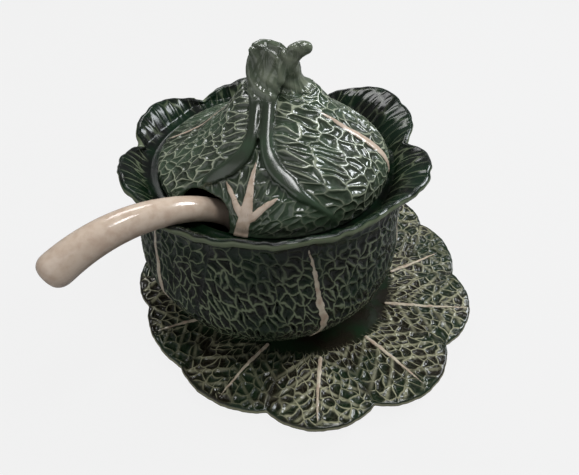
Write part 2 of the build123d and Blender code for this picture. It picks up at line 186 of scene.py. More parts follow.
def leaf_veins(tree, place):
    """Height of the vein network, 0 in a cell's floor to 1 on a ridge, and the thin line along its crest.

    place runs along the leaf's flow and across it, one unit to a cell."""
    waver = add(tree, "ShaderNodeTexNoise", {"Vector": place, "Scale": 0.7, "Detail": 1.0, "Roughness": 0.5})
    waver.noise_dimensions = "2D"
    middle = {0: waver.outputs["Color"], 1: (0.5, 0.5, 0.5)}
    centred = add(tree, "ShaderNodeVectorMath", middle, operation="SUBTRACT")
    amount = add(tree, "ShaderNodeVectorMath", {0: centred.outputs[0], "Scale": 0.95}, operation="SCALE")
    wavy = add(tree, "ShaderNodeVectorMath", {0: place, 1: amount.outputs[0]}, operation="ADD").outputs[0]
    distances = []
    for scale, randomness in ((1.0, 0.85), (2.3, 1.0)):
        inputs = {"Vector": wavy, "Scale": scale, "Randomness": randomness}
        cells = add(tree, "ShaderNodeTexVoronoi", inputs, voronoi_dimensions="2D", feature="DISTANCE_TO_EDGE")
        distances.append(cells.outputs["Distance"])
    wall = eased(tree, distances[0], 0.02, 0.24, 1.0, 0.0)
    bowl = eased(tree, distances[0], 0.0, 0.55, 1.0, 0.0)
    fine = eased(tree, distances[1], 0.0, 0.18, 1.0, 0.0)
    height = sums(tree, "MULTIPLY", wall, 0.6)
    height = sums(tree, "MULTIPLY_ADD", bowl, 0.4, height)
    height = sums(tree, "MULTIPLY_ADD", fine, 0.05, height)
    line = eased(tree, distances[0], 0.015, 0.085, 1.0, 0.0)
    line = sums(tree, "MAXIMUM", line, sums(tree, "MULTIPLY", fine, 0.08))
    return height, line


def read_pattern(piece):
    """The vein network's height at every point of a mesh that carries leaf_place."""
    tree = bpy.data.node_groups.new("read_pattern", "GeometryNodeTree")
    tree.interface.new_socket("Geometry", in_out="INPUT", socket_type="NodeSocketGeometry")
    tree.interface.new_socket("Geometry", in_out="OUTPUT", socket_type="NodeSocketGeometry")
    start, end = tree.nodes.new("NodeGroupInput"), tree.nodes.new("NodeGroupOutput")
    place = add(tree, "GeometryNodeInputNamedAttribute", {"Name": "leaf_place"}, data_type="FLOAT_VECTOR")
    height, _ = leaf_veins(tree, place.outputs["Attribute"])
    store = add(
        tree,
        "GeometryNodeStoreNamedAttribute",
        {"Geometry": start.outputs[0], "Name": "pattern", "Value": height},
        data_type="FLOAT",
        domain="POINT",
    )
    tree.links.new(store.outputs[0], end.inputs[0])
    reader = piece.modifiers.new("read_pattern", "NODES")
    reader.node_group = tree
    evaluated = piece.evaluated_get(bpy.context.evaluated_depsgraph_get())
    values = np.zeros(len(piece.data.vertices))
    evaluated.data.attributes["pattern"].data.foreach_get("value", values)
    piece.modifiers.remove(reader)
    bpy.data.node_groups.remove(tree)
    return values


# ---------------------------------------------------------------- meshes
def points_of(mesh):
    flat = np.zeros(len(mesh.vertices) * 3)
    mesh.vertices.foreach_get("co", flat)
    return flat.reshape(-1, 3)


def normals_of(mesh):
    flat = np.zeros(len(mesh.vertices) * 3)
    mesh.vertex_normals.foreach_get("vector", flat)
    return flat.reshape(-1, 3)


def survey(piece, centre):
    """Points in mm about an upright axis, their normals, radii, azimuths and heights."""
    points = points_of(piece.data) / MM - (*centre, 0)
    return points, normals_of(piece.data), *polar(points), points[:, 2]


def place_points(mesh, points):
    mesh.vertices.foreach_set("co", np.asarray(points, float).ravel())
    mesh.update()


def set_marks(mesh, **marks):
    """Stores values at the mesh's points, for the glaze to read."""
    for name, values in marks.items():
        kind = "FLOAT_VECTOR" if values.ndim == 2 else "FLOAT"
        layer = mesh.attributes.get(name) or mesh.attributes.new(name, kind, "POINT")
        layer.data.foreach_set("vector" if values.ndim == 2 else "value", values.ravel())


def piece_from(name, mesh_maker, glaze=None):
    mesh = bpy.data.meshes.new(name)
    mesh_maker.to_mesh(mesh)
    mesh_maker.free()
    piece = bpy.data.objects.new(name, mesh)
    bpy.context.scene.collection.objects.link(piece)
    mesh.shade_smooth()
    if glaze:
        mesh.materials.append(glaze)
    return piece


def closed_cloth(name, count, steps, placed):
    """A closed skin of rings, in mm from placed(azimuth, ring). Its first and last rings are poles."""
    cloth = bmesh.new()
    bmesh.ops.create_grid(cloth, x_segments=steps, y_segments=count - 1, size=1)
    piece = piece_from(name, cloth)
    points = points_of(piece.data)
    column = np.rint((points[:, 0] + 1) / 2 * steps).astype(int)
    ring = np.rint((points[:, 1] + 1) / 2 * (count - 1)).astype(int)
    place_points(piece.data, placed(column * 360 / steps - 180, ring) * MM)
    closing = bmesh.new()
    closing.from_mesh(piece.data)
    closing.verts.ensure_lookup_table()
    doubled = (column % steps == 0) | (ring == 0) | (ring == count - 1)
    seam = [closing.verts[i] for i in np.nonzero(doubled)[0]]
    bmesh.ops.remove_doubles(closing, verts=seam, dist=1e-6)
    bmesh.ops.recalc_face_normals(closing, faces=closing.faces)
    closing.to_mesh(piece.data)
    closing.free()
    piece.data.shade_smooth()
    return piece


def turned(name, form, count, steps, centre=(0, 0)):
    """A closed turned body: form(azimuth, ring) gives each point's radius and height."""

    def placed(azimuth, ring):
        radius, height = form(azimuth, ring)
        swing = np.radians(azimuth)
        return np.stack([radius * np.cos(swing) + centre[0], radius * np.sin(swing) + centre[1], height], 1)

    return closed_cloth(name, count, steps, placed)


def raise_by(piece, relief):
    """Moves each point out along its normal by its own number of mm."""
    points, normals = points_of(piece.data), normals_of(piece.data)
    place_points(piece.data, points + normals * (relief * MM)[:, None])


def carve(piece, amount, **marks):
    """Stores the marks and raises the veins: amount is the relief in mm from a cell's floor to a ridge."""
    set_marks(piece.data, **marks)
    raise_by(piece, (read_pattern(piece) - 0.45) * amount)


# ---------------------------------------------------------------- glazes
def glaze_nodes(name):
    """A material with one Principled shader, its node tree, and that shader."""
    glaze = bpy.data.materials.new(name)
    glaze.use_nodes = True
    tree = glaze.node_tree
    tree.nodes.clear()
    shader = tree.nodes.new("ShaderNodeBsdfPrincipled")
    output = tree.nodes.new("ShaderNodeOutputMaterial")
    tree.links.new(shader.outputs[0], output.inputs["Surface"])
    return glaze, tree, shader


def blend_colour(tree, share, first, second):
    return add(tree, "ShaderNodeMix", {0: share, 6: first, 7: second}, data_type="RGBA").outputs[2]


def marks_of(tree, name, kind="Fac"):
    return add(tree, "ShaderNodeAttribute", attribute_name=name, attribute_type="GEOMETRY").outputs[kind]


def cloud(tree, place, scale, detail=3.0):
    return add(tree, "ShaderNodeTexNoise", {"Vector": place, "Scale": scale, "Detail": detail}).outputs["Fac"]


# What the glaze reads from a mesh, and its colours: cells, pools in them, veins, bare stalks, their stains.
GLAZE_MARKS = {"Veined": "veined", "Side Vein And Sheen": "side_vein", "Rib": "rib", "Edge": "lip"}
GLAZE_COLOURS = ("Cell", "Pool", "Vein", "Stalk", "Stain")


def leaf_glaze_group():
    """The glaze over leaf relief: dark where it pools in the cells, thin and lighter on veins and edges. The
    edge and side-vein marks also carry painted highlight: a light line along the bowl's rim, and a lightening
    of the lid's knob.

    Midribs are wiped bare to a cream body, with ragged edges and pinholes that the glaze has filled."""
    group = bpy.data.node_groups.new("leaf_glaze", "ShaderNodeTree")
    numbers = (*GLAZE_MARKS, "Pinholes", "Least Rough", "Most Rough")
    for kind, names in (("Vector", ("Place", "Where")), ("Float", numbers), ("Color", GLAZE_COLOURS)):
        for socket in names:
            group.interface.new_socket(socket, in_out="INPUT", socket_type="NodeSocket" + kind)
    group.interface.new_socket("Colour", in_out="OUTPUT", socket_type="NodeSocketColor")
    for socket in ("Roughness", "Relief"):
        group.interface.new_socket(socket, in_out="OUTPUT", socket_type="NodeSocketFloat")

    def times(a, b):
        return sums(group, "MULTIPLY", a, b)

    def dappled(scale, low, high, start=0.0, end=1.0):
        return eased(group, cloud(group, where, scale), low, high, start, end)

    given = group.nodes.new("NodeGroupInput").outputs
    result = group.nodes.new("NodeGroupOutput").inputs
    where = given["Where"]
    height, line = leaf_veins(group, given["Place"])
    # glaze pools brown-black in some cells and stays green in others
    pooled = blend_colour(group, dappled(30.0, 0.40, 0.60), given["Cell"], given["Pool"])
    slope = times(eased(group, height, 0.4, 1.0, 0.0, 0.09), given["Veined"])
    crest = times(line, given["Veined"])
    # the side-vein mark: real side veins on the plate, painted highlight on the lid's knob
    crest = sums(group, "MAXIMUM", crest, given["Side Vein And Sheen"])
    crest = times(crest, dappled(16.0, 0.36, 0.62, 0.3, 1.0))
    crest = times(crest, dappled(220.0, 0.3, 0.55, 0.7, 1.0))
    coloured = blend_colour(group, sums(group, "MAXIMUM", slope, crest), pooled, given["Vein"])
    # edges lighten towards the vein colour: thin glaze, and on the bowl's rim also painted highlight
    edge = times(eased(group, given["Edge"], 0.3, 1.3, 1.0, 0.0), 0.7)
    coloured = blend_colour(group, edge, coloured, given["Vein"])
    # bare midribs
    ragged = sums(group, "MULTIPLY_ADD", cloud(group, where, 420.0, 2.0), 0.9, -0.45)
    wiped = eased(group, sums(group, "ADD", given["Rib"], ragged), -0.15, 0.45)
    dots = {"Vector": where, "Scale": 900.0, "Randomness": 1.0}
    holes = eased(group, add(group, "ShaderNodeTexVoronoi", dots).outputs["Distance"], 0.16, 0.26, 1.0, 0.0)
    holes = times(holes, dappled(260.0, 0.55, 0.66))
    holes = times(holes, given["Pinholes"])
    stained = blend_colour(group, dappled(150.0, 0.35, 0.75), given["Stalk"], given["Stain"])
    stained = blend_colour(group, holes, stained, given["Pool"])
    group.links.new(blend_colour(group, wiped, coloured, stained), result["Colour"])
    uneven = {"Value": cloud(group, where, 60.0), "From Min": 0.3, "From Max": 0.7}
    rough = add(group, "ShaderNodeMapRange", uneven)
    group.links.new(given["Least Rough"], rough.inputs["To Min"])
    group.links.new(given["Most Rough"], rough.inputs["To Max"])
    group.links.new(rough.outputs[0], result["Roughness"])
    # relief too fine for the mesh, and the glaze's own faint unevenness
    relief = times(height, given["Veined"])
    relief = sums(group, "MULTIPLY_ADD", cloud(group, where, 420.0, 2.0), 0.12, relief)
    group.links.new(relief, result["Relief"])
    return group


leaf_glaze = leaf_glaze_group()


def glaze_over(piece, name, colours, gloss, pinholes=1.0, specular=0.5):
    """Gives a piece the leaf glaze with its own colours, and its least and most roughness."""
    glaze, tree, shader = glaze_nodes(name)
    placed = tree.nodes.new("ShaderNodeGroup")
    placed.node_tree = leaf_glaze
    tree.links.new(marks_of(tree, "leaf_place", "Vector"), placed.inputs["Place"])
    tree.links.new(tree.nodes.new("ShaderNodeTexCoord").outputs["Object"], placed.inputs["Where"])
    for socket, mark in GLAZE_MARKS.items():
        tree.links.new(marks_of(tree, mark), placed.inputs[socket])
    for socket, colour in zip(GLAZE_COLOURS, colours):
        placed.inputs[socket].default_value = (*colour, 1)
    placed.inputs["Pinholes"].default_value = pinholes
    placed.inputs["Least Rough"].default_value, placed.inputs["Most Rough"].default_value = gloss
    tree.links.new(placed.outputs["Colour"], shader.inputs["Base Color"])
    tree.links.new(placed.outputs["Roughness"], shader.inputs["Roughness"])
    shader.inputs["IOR"].default_value = 1.5
    shader.inputs["Specular IOR Level"].default_value = specular
    relief = {"Height": placed.outputs["Relief"], "Distance": 0.0005, "Strength": 0.6}
    bump = add(tree, "ShaderNodeBump", relief)
    tree.links.new(bump.outputs[0], shader.inputs["Normal"])
    piece.data.materials.append(glaze)


CREAM = (0.52, 0.42, 0.335)
PALE_CREAM = (0.54, 0.48, 0.37)
STAINED_CREAM = (0.40, 0.30, 0.225)


# ---------------------------------------------------------------- leaf plate
# Each lobe: its tip's azimuth and radius, then the radius and azimuth where its midrib starts and ends.
LOBES = (
    (-84, 168.3, 98, -80, 164, -85.6),
    (-50, 169, 94, -50, 161, -50),
    (-14, 167.7, 89, -20, 166, -14.4),
    (17, 162.7, 95, 7, 147, 12.7),
    (43, 165, 92, 38, 153, 44),
    (79, 166, 92, 77, 155, 81),
    (115, 165, 92, 112, 154, 116),
    (150, 166, 92, 149, 155, 151),
    (186, 164, 92, 184, 153, 187),
    (212, 160, 112, 212.5, 155, 211.2),
    (243, 163, 89, 249.4, 157, 244.5),
)
PLATE_NOTCH = 155
PLATE_WELL = 88
PLATE_THICKNESS = 4.5
PLATE_FLOOR = 7
PLATE_EDGE = 166  # the rim's radius before its lobes
LEAF_FROM = 92  # where the leaves' side veins start
PLATE_FAN = 45  # where each leaf's veins fan out from
PLATE_CELL = 10.5
SIDE_VEIN_STEP = 17
PLATE_EDGE_ROUND = 2.2


def plate_outline(azimuth):
    lobes = []
    for i, lobe in enumerate(LOBES):
        after = LOBES[(i + 1) % len(LOBES)]
        notch = lobe[0] + turn_between(after[0], lobe[0]) / 2
        lobes.append(((lobe[0], lobe[1] - 0.6), (notch, PLATE_NOTCH)))
    return petal_radius(azimuth, lobes, 2.1) + 0.35 * ripple(np.radians(azimuth) * 41, 1.0)


def plate_lobe_shares(azimuth):
    """Which lobe, and how far across it from -1 to 1 with 0 at its tip."""
    lobe = np.zeros(len(azimuth), int)
    share = np.zeros(len(azimuth))
    for i, row in enumerate(LOBES):
        before, after = LOBES[i - 1][0], LOBES[(i + 1) % len(LOBES)][0]
        offset = turn_between(azimuth, row[0])
        back, ahead = turn_between(row[0], before) / 2, turn_between(after, row[0]) / 2
        own = (offset > -back) & (offset <= ahead)
        lobe[own] = i
        share[own] = np.where(offset < 0, offset / back, offset / ahead)[own]
    return lobe, share


def plate_height(radius, share):
    """The top face: a flat well, then leaves that rise to the rim, each a little cupped."""
    out = np.clip((radius - PLATE_WELL) / (PLATE_EDGE - PLATE_WELL), -0.2, 1.1)
    rise = np.where(out > 0, out, 0)
    rise = np.sqrt(rise**2 + 0.0016) - 0.04
    cupped = smooth(0.02, 0.4, out) * (1.7 * (1 - np.abs(share) ** 2) - 0.5)
    return PLATE_FLOOR + (PLATE_RIM_Z - PLATE_FLOOR - 1.4) * rise + cupped - 0.8 * smooth(0.9, 1.05, out)


plate_top = [0, 12, 24, 36, 48, 56, 62, 67, 71, 75, 78, 80.5, 82.5, 84]
plate_top += [*np.arange(85.2, 163.9, 1.17), 164.6, 165.2, 165.7]
plate_under = [166, 165.9, 165.3, 164, 161, 155, 145, 130, 112, 95]
plate_under += [84, 79, 76.5, 74.5, 72, 69.5, 67.5, 66, 62, 45, 20, 0]
plate_rings = np.array(plate_top + plate_under, float)
plate_top_count = len(plate_top)


def plate_form(azimuth, ring):
    base = plate_rings[ring]
    _, share = plate_lobe_shares(azimuth)
    scale = (plate_outline(azimuth) - PLATE_WELL) / (PLATE_EDGE - PLATE_WELL)
    radius = np.where(base > PLATE_WELL, PLATE_WELL + (base - PLATE_WELL) * scale, base)
    top = plate_height(base, share)
    from_edge = np.clip(PLATE_EDGE - base, 0, PLATE_EDGE_ROUND) / PLATE_EDGE_ROUND
    rounded = PLATE_THICKNESS / 2 * (1 - np.sqrt(np.clip(1 - (1 - from_edge) ** 2, 0, 1)))
    under_slope = top - PLATE_THICKNESS + rounded
    under_well = PLATE_FLOOR - PLATE_THICKNESS + 0.2
    foot = smooth(78, 75, base) * smooth(64, 67, base)
    under = np.where(base < 79, under_well * (1 - foot), under_slope)
    joining = np.minimum(under_slope, under_well + (base - 79) * 0.12)
    under = np.where((base >= 79) & (base < 95), joining, under)
    height = np.where(ring < plate_top_count, top - rounded, under)
    return radius, height


leaf_plate = turned("leaf_plate", plate_form, len(plate_rings), steps=840)
points, normals, radius, azimuth, _ = survey(leaf_plate, (0, 0))
lobe, share = plate_lobe_shares(azimuth)
upper = normals[:, 2] > 0.15
to_edge = plate_outline(azimuth) - radius
from_rib = np.radians(turn_between(azimuth, np.array([row[0] for row in LOBES])[lobe]))
ahead, aside = radius * np.cos(from_rib) - PLATE_FAN, radius * np.sin(from_rib)
reach, fan = np.hypot(ahead, aside), np.arctan2(aside, ahead)
across_leaf = fan * PLATE_CELL + np.sign(aside) * 3.7 + lobe * 5.1
leaf_place = level(reach / PLATE_CELL + lobe * 7.3, across_leaf)
rib = np.full(len(points), OUTSIDE)
rib_relief = np.zeros(len(points))
for row in LOBES:
    start, end = np.array(on_circle(row[2], row[3])), np.array(on_circle(row[4], row[5]))
    bow = (start + end) / 2 + np.array([-(end - start)[1], (end - start)[0]]) * 0.02 * math.sin(row[0])
    line = [(*start, 0), (*bow, 0), (*end, 0)]
    inside, along = distance_to_line(points * (1, 1, 0), line, (1.7, 2.0, 1.7, 1.3, 1.0, 0.5))
    rib = np.maximum(rib, inside)
    rib_relief = np.maximum(rib_relief, smooth(-1.6, 1.0, inside) * (1.9 - 1.1 * along))
# side veins leave each midrib and bend towards the rim
step_out = (ahead + PLATE_FAN - LEAF_FROM - np.abs(aside) * 0.85 + aside**2 * 0.004) / SIDE_VEIN_STEP
off_vein = np.abs(step_out - np.rint(step_out)) * SIDE_VEIN_STEP * 0.72
past_well = smooth(-2, 4, radius - LEAF_FROM)
side_relief = smooth(1.7, 0.3, off_vein) * smooth(46, 12, np.abs(aside)) * past_well * smooth(3, 9, to_edge)
side_line = smooth(1.9, 0.5, off_vein) * smooth(50, 26, np.abs(aside)) * past_well * smooth(2, 6, to_edge)
on_leaf = upper * smooth(PLATE_WELL - 1, PLATE_WELL + 7, radius) * smooth(1.6, 5, to_edge)
apart = smooth(0.0, 0.09, 1 - np.abs(share))
veined = on_leaf * (0.25 + 0.75 * apart) * (1 - smooth(-1.2, 0.3, rib))
carve(
    leaf_plate,
    1.5 * veined,
    leaf_place=leaf_place,
    veined=veined,
    side_vein=side_line * on_leaf * 0.8,
    rib=np.where(upper, rib, OUTSIDE),
    lip=np.where(upper, to_edge, 0.9),
)
crease = smooth(2.6, 0.4, (1 - np.abs(share)) * radius * 0.27) * smooth(PLATE_WELL, 150, radius) * 1.1
edge_bead = 0.5 * smooth(5, 2.5, to_edge) * smooth(0, 1.5, to_edge)
relief = rib_relief - crease * smooth(0.4, 3, to_edge) + 0.55 * side_relief * on_leaf + edge_bead
raise_by(leaf_plate, upper * relief)
glaze_over(
    leaf_plate,
    "plate_green_glaze",
    ((0.009, 0.020, 0.009), (0.012, 0.010, 0.006), (0.350, 0.340, 0.220), PALE_CREAM, STAINED_CREAM),
    gloss=(0.14, 0.28),
    specular=0.32,
)
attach(leaf_plate, "plate")
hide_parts("underplate")


# ---------------------------------------------------------------- tureen bowl
# Petals of the rim: tip (azimuth, radius, height), then the notch that follows it.
PETALS = (
    ((-79, 120.5, 166), (-40, 119.5, 165.5)),
    ((-13, 130, 166.5), (6, 115, 160)),
    ((38, 137, 166.5), (63, 111, 154)),
    ((98, 119, 161.5), (129, 110, 153)),
    ((156, 122, 162), (178, 110.5, 154)),
    ((204, 122.5, 163), (221, 116, 157)),
    ((231, 120, 156.5), (243, 118, 159)),
)
NECK_R = 112.5
# The bowl's outer line, from the foot's top to the neck: radius and height.
BODY = ((52, 14), (72, 17.5), (91.5, 25.3), (103.3, 36.8), (112.8, 55))
BODY += ((117.4, 71), (117, 84), (114.4, 100), (113, 118), (NECK_R, 141))
BODY_R, BODY_Z = np.array(BODY, float).T
BODY_M = run_lengths(BODY_R, BODY_Z)
NECK_M = BODY_M[-1]
PETAL_WALL = 4.5
ROUND_FROM = 0.985  # how far up a petal its edge starts to round over
BODY_CELL = 12.5
BODY_FAN = 34  # how far up the body each leaf's veins fan out from


def petal_tip(azimuth):
    """Radius and height of the rim."""
    radius = petal_radius(azimuth, [(tip[:2], notch[:2]) for tip, notch in PETALS], 2.0)
    height = petal_radius(azimuth, [((tip[0], tip[2]), (notch[0], notch[2])) for tip, notch in PETALS], 1.7)
    waver = np.radians(azimuth)
    return radius + 0.9 * ripple(waver * 17, 2.0), height + 0.8 * ripple(waver * 13, 5.0)


def bent(start, first, second, end, t):
    """Where a curve with two pulling points is at t, and how fast it moves on."""
    place = (1 - t) ** 3 * start + 3 * t * (1 - t) ** 2 * first + 3 * t * t * (1 - t) * second + t**3 * end
    run = (1 - t) ** 2 * (first - start) + 2 * t * (1 - t) * (second - first) + t * t * (end - second)
    return place, 3 * run


def petal_line(azimuth, share, inward):
    """Across a petal from the neck (0) to its rim (1), set in by a distance square to it."""
    tip_r, tip_z = petal_tip(azimuth)
    rise = tip_z - NECK_Z
    radius, run_r = bent(NECK_R, NECK_R + 0.6, NECK_R + 0.42 * (tip_r - NECK_R), tip_r, share)
    height, run_z = bent(NECK_Z, NECK_Z + 0.5 * rise, NECK_Z + 0.88 * rise, tip_z, share)
    length = np.hypot(run_r, run_z)
    return radius - inward * run_z / length, height + inward * run_r / length


# The bowl's inside from the middle of its floor to the lid's seat, as radius and height.
inside_line = [(0, 20), (15, 20), (30, 20), (46, 20.2), (60, 22), (75, 26.3), (88, 32.5)]
inside_line += [(98.5, 40), (105, 51), (109, 62), (110.8, 72), (110.4, 90), (108.6, 106)]
inside_line += [(107, 120), (106.5, 126), (93, 139.4), (92.5, 140.2), (92.5, 144)]
inside_line += [(92.5, 147.4), (93.1, 148), (96, 148), (98.5, 148), (100.2, 148.3)]
THROAT_R = 100.3  # where the petals rise from the seat
throat_shares = np.linspace(0.1, ROUND_FROM, 28)
rim_rounds = np.linspace(0.12, 0.88, 4)
petal_shares = np.linspace(ROUND_FROM, 0.02, 25)
body_lengths = [*np.arange(NECK_M, 52, -1.26), *np.linspace(49, 3, 16)]
foot_line = [(47, 13.4), (46, 12.4), (46, 7.6), (45.4, 7), (37.6, 7)]
foot_line += [(37, 7.6), (37, 13.4), (36.2, 14), (18, 14), (0, 14)]
inside_count = len(inside_line)
throat_end = inside_count + len(throat_shares)
rim_end = throat_end + len(rim_rounds)
petal_end = rim_end + len(petal_shares)
body_end = petal_end + len(body_lengths)
bowl_count = body_end + len(foot_line)


def bowl_form(azimuth, ring):
    radius, height = np.zeros(len(ring)), np.zeros(len(ring))
    for start, line in ((0, inside_line), (body_end, foot_line)):
        for i, spot in enumerate(line, start):
            radius[ring == i], height[ring == i] = spot
    for i, share in enumerate(throat_shares):
        here = ring == inside_count + i
        r, z = petal_line(azimuth[here], share, PETAL_WALL + 8.0 * (1 - share) ** 2)
        r = np.maximum(r, THROAT_R + 0.3 * (i + 1))
        radius[here], height[here] = r, np.maximum(z, SEAT_Z + 0.35 + 0.6 * (r - THROAT_R))
    for i, share in enumerate(rim_rounds):
        here = ring == throat_end + i
        mid_r, mid_z = petal_line(azimuth[here], ROUND_FROM, PETAL_WALL / 2)
        out_r, out_z = petal_line(azimuth[here], 1.0, PETAL_WALL / 2)
        edge_r, edge_z = petal_line(azimuth[here], ROUND_FROM, PETAL_WALL * (1 - share))
        bulge = 1.7 * math.sin(math.pi * share) / np.maximum(np.hypot(out_r - mid_r, out_z - mid_z), 0.01)
        radius[here] = edge_r + (out_r - mid_r) * bulge
        height[here] = edge_z + (out_z - mid_z) * bulge
    for i, share in enumerate(petal_shares, rim_end):
        radius[ring == i], height[ring == i] = petal_line(azimuth[ring == i], share, 0)
    for i, length in enumerate(body_lengths, petal_end):
        radius[ring == i] = through(BODY_M, BODY_R, length)
        height[ring == i] = through(BODY_M, BODY_Z, length)
    return radius, height


# Leaves round the body: where each starts at the neck and at the foot, whether it lies over its
# neighbours, and its midrib from neck to foot.
BODY_LEAVES = (
    (-108, -121, True, (-74, -71.4, -69.7, -68, -66.2, -66, -69)),
    (-43, -38, False, (-20, -16, -13, -12, -11, -12, -15)),
    (10, 24, True, (44, 50, 55, 58, 60, 60, 58)),
    (70, 94, False, (110, 114, 118, 121, 122, 122, 120)),
    (132, 150, True, (166, 171, 174, 176, 177, 178, 181)),
    (184, 197, False, (225, 222, 219.5, 221, 222, 223, 221)),
)
MIDRIB_HEIGHTS = (156, 135, 114, 92, 76, 56, 43)

tureen = turned("tureen", bowl_form, bowl_count, 512, AXIS)
points, normals, radius, azimuth, height = survey(tureen, AXIS)
outward = (normals[:, :2] * points[:, :2]).sum(1) / np.maximum(radius, 1)
tip_r, tip_z = petal_tip(azimuth)
throat = (height > SEAT_Z + 0.6) & (normals[:, 2] > 0.05 - 0.5 * smooth(160, 150, height)) & (outward < 0.35)
outer = ((outward > 0.1) | (height < 30)) & (radius > 50) & ~throat & (height > 14.5)
outer &= (height >= SEAT_Z + 0.6) | (radius >= 111.5) | (outward >= 0.1)
drop = np.clip((NECK_Z + 20 - height) / (NECK_Z - 20), 0, 1)
past_neck = NECK_M + np.hypot(height - NECK_Z, radius - NECK_R)
along_body = np.where(height < NECK_Z, np.interp(height, BODY_Z, BODY_M), past_neck)
leaf = np.zeros(len(points), int)
leaf_edge = np.full(len(points), 99.0)
rib = np.full(len(points), OUTSIDE)
rib_along = np.zeros(len(points))
rib_turn = np.zeros(len(points))
for i, (start_top, start_foot, _, midrib) in enumerate(BODY_LEAVES):
    after = BODY_LEAVES[(i + 1) % len(BODY_LEAVES)]
    start = start_top + turn_between(start_foot, start_top) * drop
    end = after[0] + turn_between(after[1], after[0]) * drop
    offset = turn_between(azimuth, start)
    own = (offset >= 0) & (offset < (end - start) % 360)
    leaf[own] = i
    near = np.minimum(np.abs(offset), np.abs(turn_between(azimuth, end)))
    leaf_edge = np.where(own, np.radians(near) * radius, leaf_edge)
    at = np.interp(-height, [-h for h in MIDRIB_HEIGHTS], midrib)
    rib_turn = np.where(own, np.radians(turn_between(azimuth, at)), rib_turn)
    line = [(*on_circle(np.interp(h, BODY_Z, BODY_R), a), h) for h, a in zip(MIDRIB_HEIGHTS, midrib)]
    inside, along = distance_to_line(points, line, (0.8, 1.3, 1.9, 2.4, 3.0, 3.3, 3.0, 1.4), normals)
    rib_along = np.where(inside > rib, along, rib_along)
    rib = np.maximum(rib, inside)
rib = np.where(outer, rib, OUTSIDE)
raised = np.array([row[2] for row in BODY_LEAVES])[leaf]
ahead, aside = along_body - BODY_FAN, radius * rib_turn
reach, fan = np.hypot(ahead, aside), np.arctan2(aside, ahead)
across_leaf = fan * BODY_CELL * (np.maximum(reach, 8) / 90) ** 0.6 + np.sign(aside) * 4.3 + leaf * 6.7
leaf_place = level(reach / BODY_CELL + leaf * 9.1, across_leaf)
# inside the petals the veins run up from the seat
up_petal = level((radius - 100) / 24 + azimuth / 40, np.radians(azimuth) * 13)
leaf_place = np.where(throat[:, None], up_petal + 31.7, leaf_place)
rim_gap = np.hypot(tip_r - radius, tip_z - height)
body_veined = outer * smooth(17, 30, height) * smooth(1.2, 3.5, leaf_edge) * smooth(2.5, 8, rim_gap)
body_veined *= (0.35 + 0.65 * smooth(NECK_Z + 16, NECK_Z - 2, height)) * (1 - smooth(-1.2, 0.3, rib))
throat_veined = throat * smooth(2.5, 7, rim_gap) * smooth(SEAT_Z + 0.9, SEAT_Z + 5, height) * 0.6
leaf_lip = np.where(raised & (height < 150), leaf_edge + 0.3, 99)
# near the rim the lip mark lightens the edge: partly thin glaze on it, partly painted highlight for the
# glossy line along the rim
carve(
    tureen,
    2.1 * body_veined + 0.75 * throat_veined,
    leaf_place=leaf_place,
    veined=body_veined + throat_veined,
    side_vein=0 * reach,
    rib=rib,
    lip=np.where(outer, np.minimum(rim_gap - 2.0, leaf_lip), rim_gap - 1.6),
)
# overlapping leaves, with a bead along each raised edge, and midribs that stand proud
overlap = outer * smooth(16, 28, height) * smooth(162, 150, height)
bead = 0.8 * smooth(4.5, 2.2, leaf_edge) * smooth(0.2, 2, leaf_edge)
step = np.where(raised, 1.5 * smooth(-0.2, 1.6, leaf_edge) + bead, 0)
swell = 1.1 * np.sin(np.clip(np.abs(aside) / 34, 0, np.pi))
swell = swell * smooth(30, 50, height) * smooth(150, 120, height)
mound = smooth(-1.8, 1.2, rib) * (1.0 + 1.0 * rib_along)
# flutes down the petals' inside, and a rolled rim
flutes = throat * 0.7 * ripple(np.radians(azimuth) * 19 + radius * 0.02, 1.0)
flutes = flutes * smooth(4, 14, rim_gap) * smooth(SEAT_Z + 1, SEAT_Z + 6, height)
rolled = 1.1 * smooth(5.5, 1.5, rim_gap) * (1 + 0.35 * ripple(np.radians(azimuth) * 23, 4.0))
raise_by(tureen, overlap * (step + swell) + outer * mound + flutes + rolled)
glaze_over(
    tureen,
    "bowl_green_glaze",
    ((0.003, 0.013, 0.005), (0.003, 0.004, 0.003), (0.160, 0.190, 0.115), PALE_CREAM, STAINED_CREAM),
    gloss=(0.13, 0.27),
    specular=0.24,
)
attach(tureen, "tureen")
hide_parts("tureen_bowl")


# ---------------------------------------------------------------- swept leaf folds and stalks
def swept(name, stations, sides=32, between=5):
    """A closed solid along a line of stations.

    Each is a centre, a facing (the section's thin way), half the width, half the thickness and the cup."""
    table = np.array([[*centre, *facing, *sizes] for centre, facing, *sizes in stations], float)
    at = np.arange(len(table))
    fine = np.linspace(0, len(table) - 1, (len(table) - 1) * between + 1)
    table = np.stack([through(at, column, fine) for column in table.T], 1)
    centres, facings = table[:, :3], table[:, 3:6]
    heading = np.gradient(centres, axis=0)
    heading /= np.linalg.norm(heading, axis=1)[:, None]
    facings = facings - (facings * heading).sum(1)[:, None] * heading
    facings /= np.linalg.norm(facings, axis=1)[:, None]
    across = np.cross(heading, facings)
    rounding = np.sin(np.radians(np.clip(np.arange(len(fine)) * 30, 0, 90)))
    rounding = np.minimum(rounding, rounding[::-1])

    def placed(angle, ring):
        side, depth = np.cos(np.radians(angle)), np.sin(np.radians(angle))
        size = rounding[ring]
        wide, thick, cup = table[ring, 6], table[ring, 7], table[ring, 8]
        sideways = across[ring] * (side * wide * size)[:, None]
        outwards = facings[ring] * (depth * thick * size + cup * side**2 * size)[:, None]
        return centres[ring] + sideways + outwards

    return closed_cloth(name, len(fine), sides, placed)


def applied(piece):
    """Bakes a piece's modifiers into its mesh."""
    made = bpy.data.meshes.new_from_object(piece.evaluated_get(bpy.context.evaluated_depsgraph_get()))
    piece.modifiers.clear()
    old, piece.data = piece.data, made
    bpy.data.meshes.remove(old)


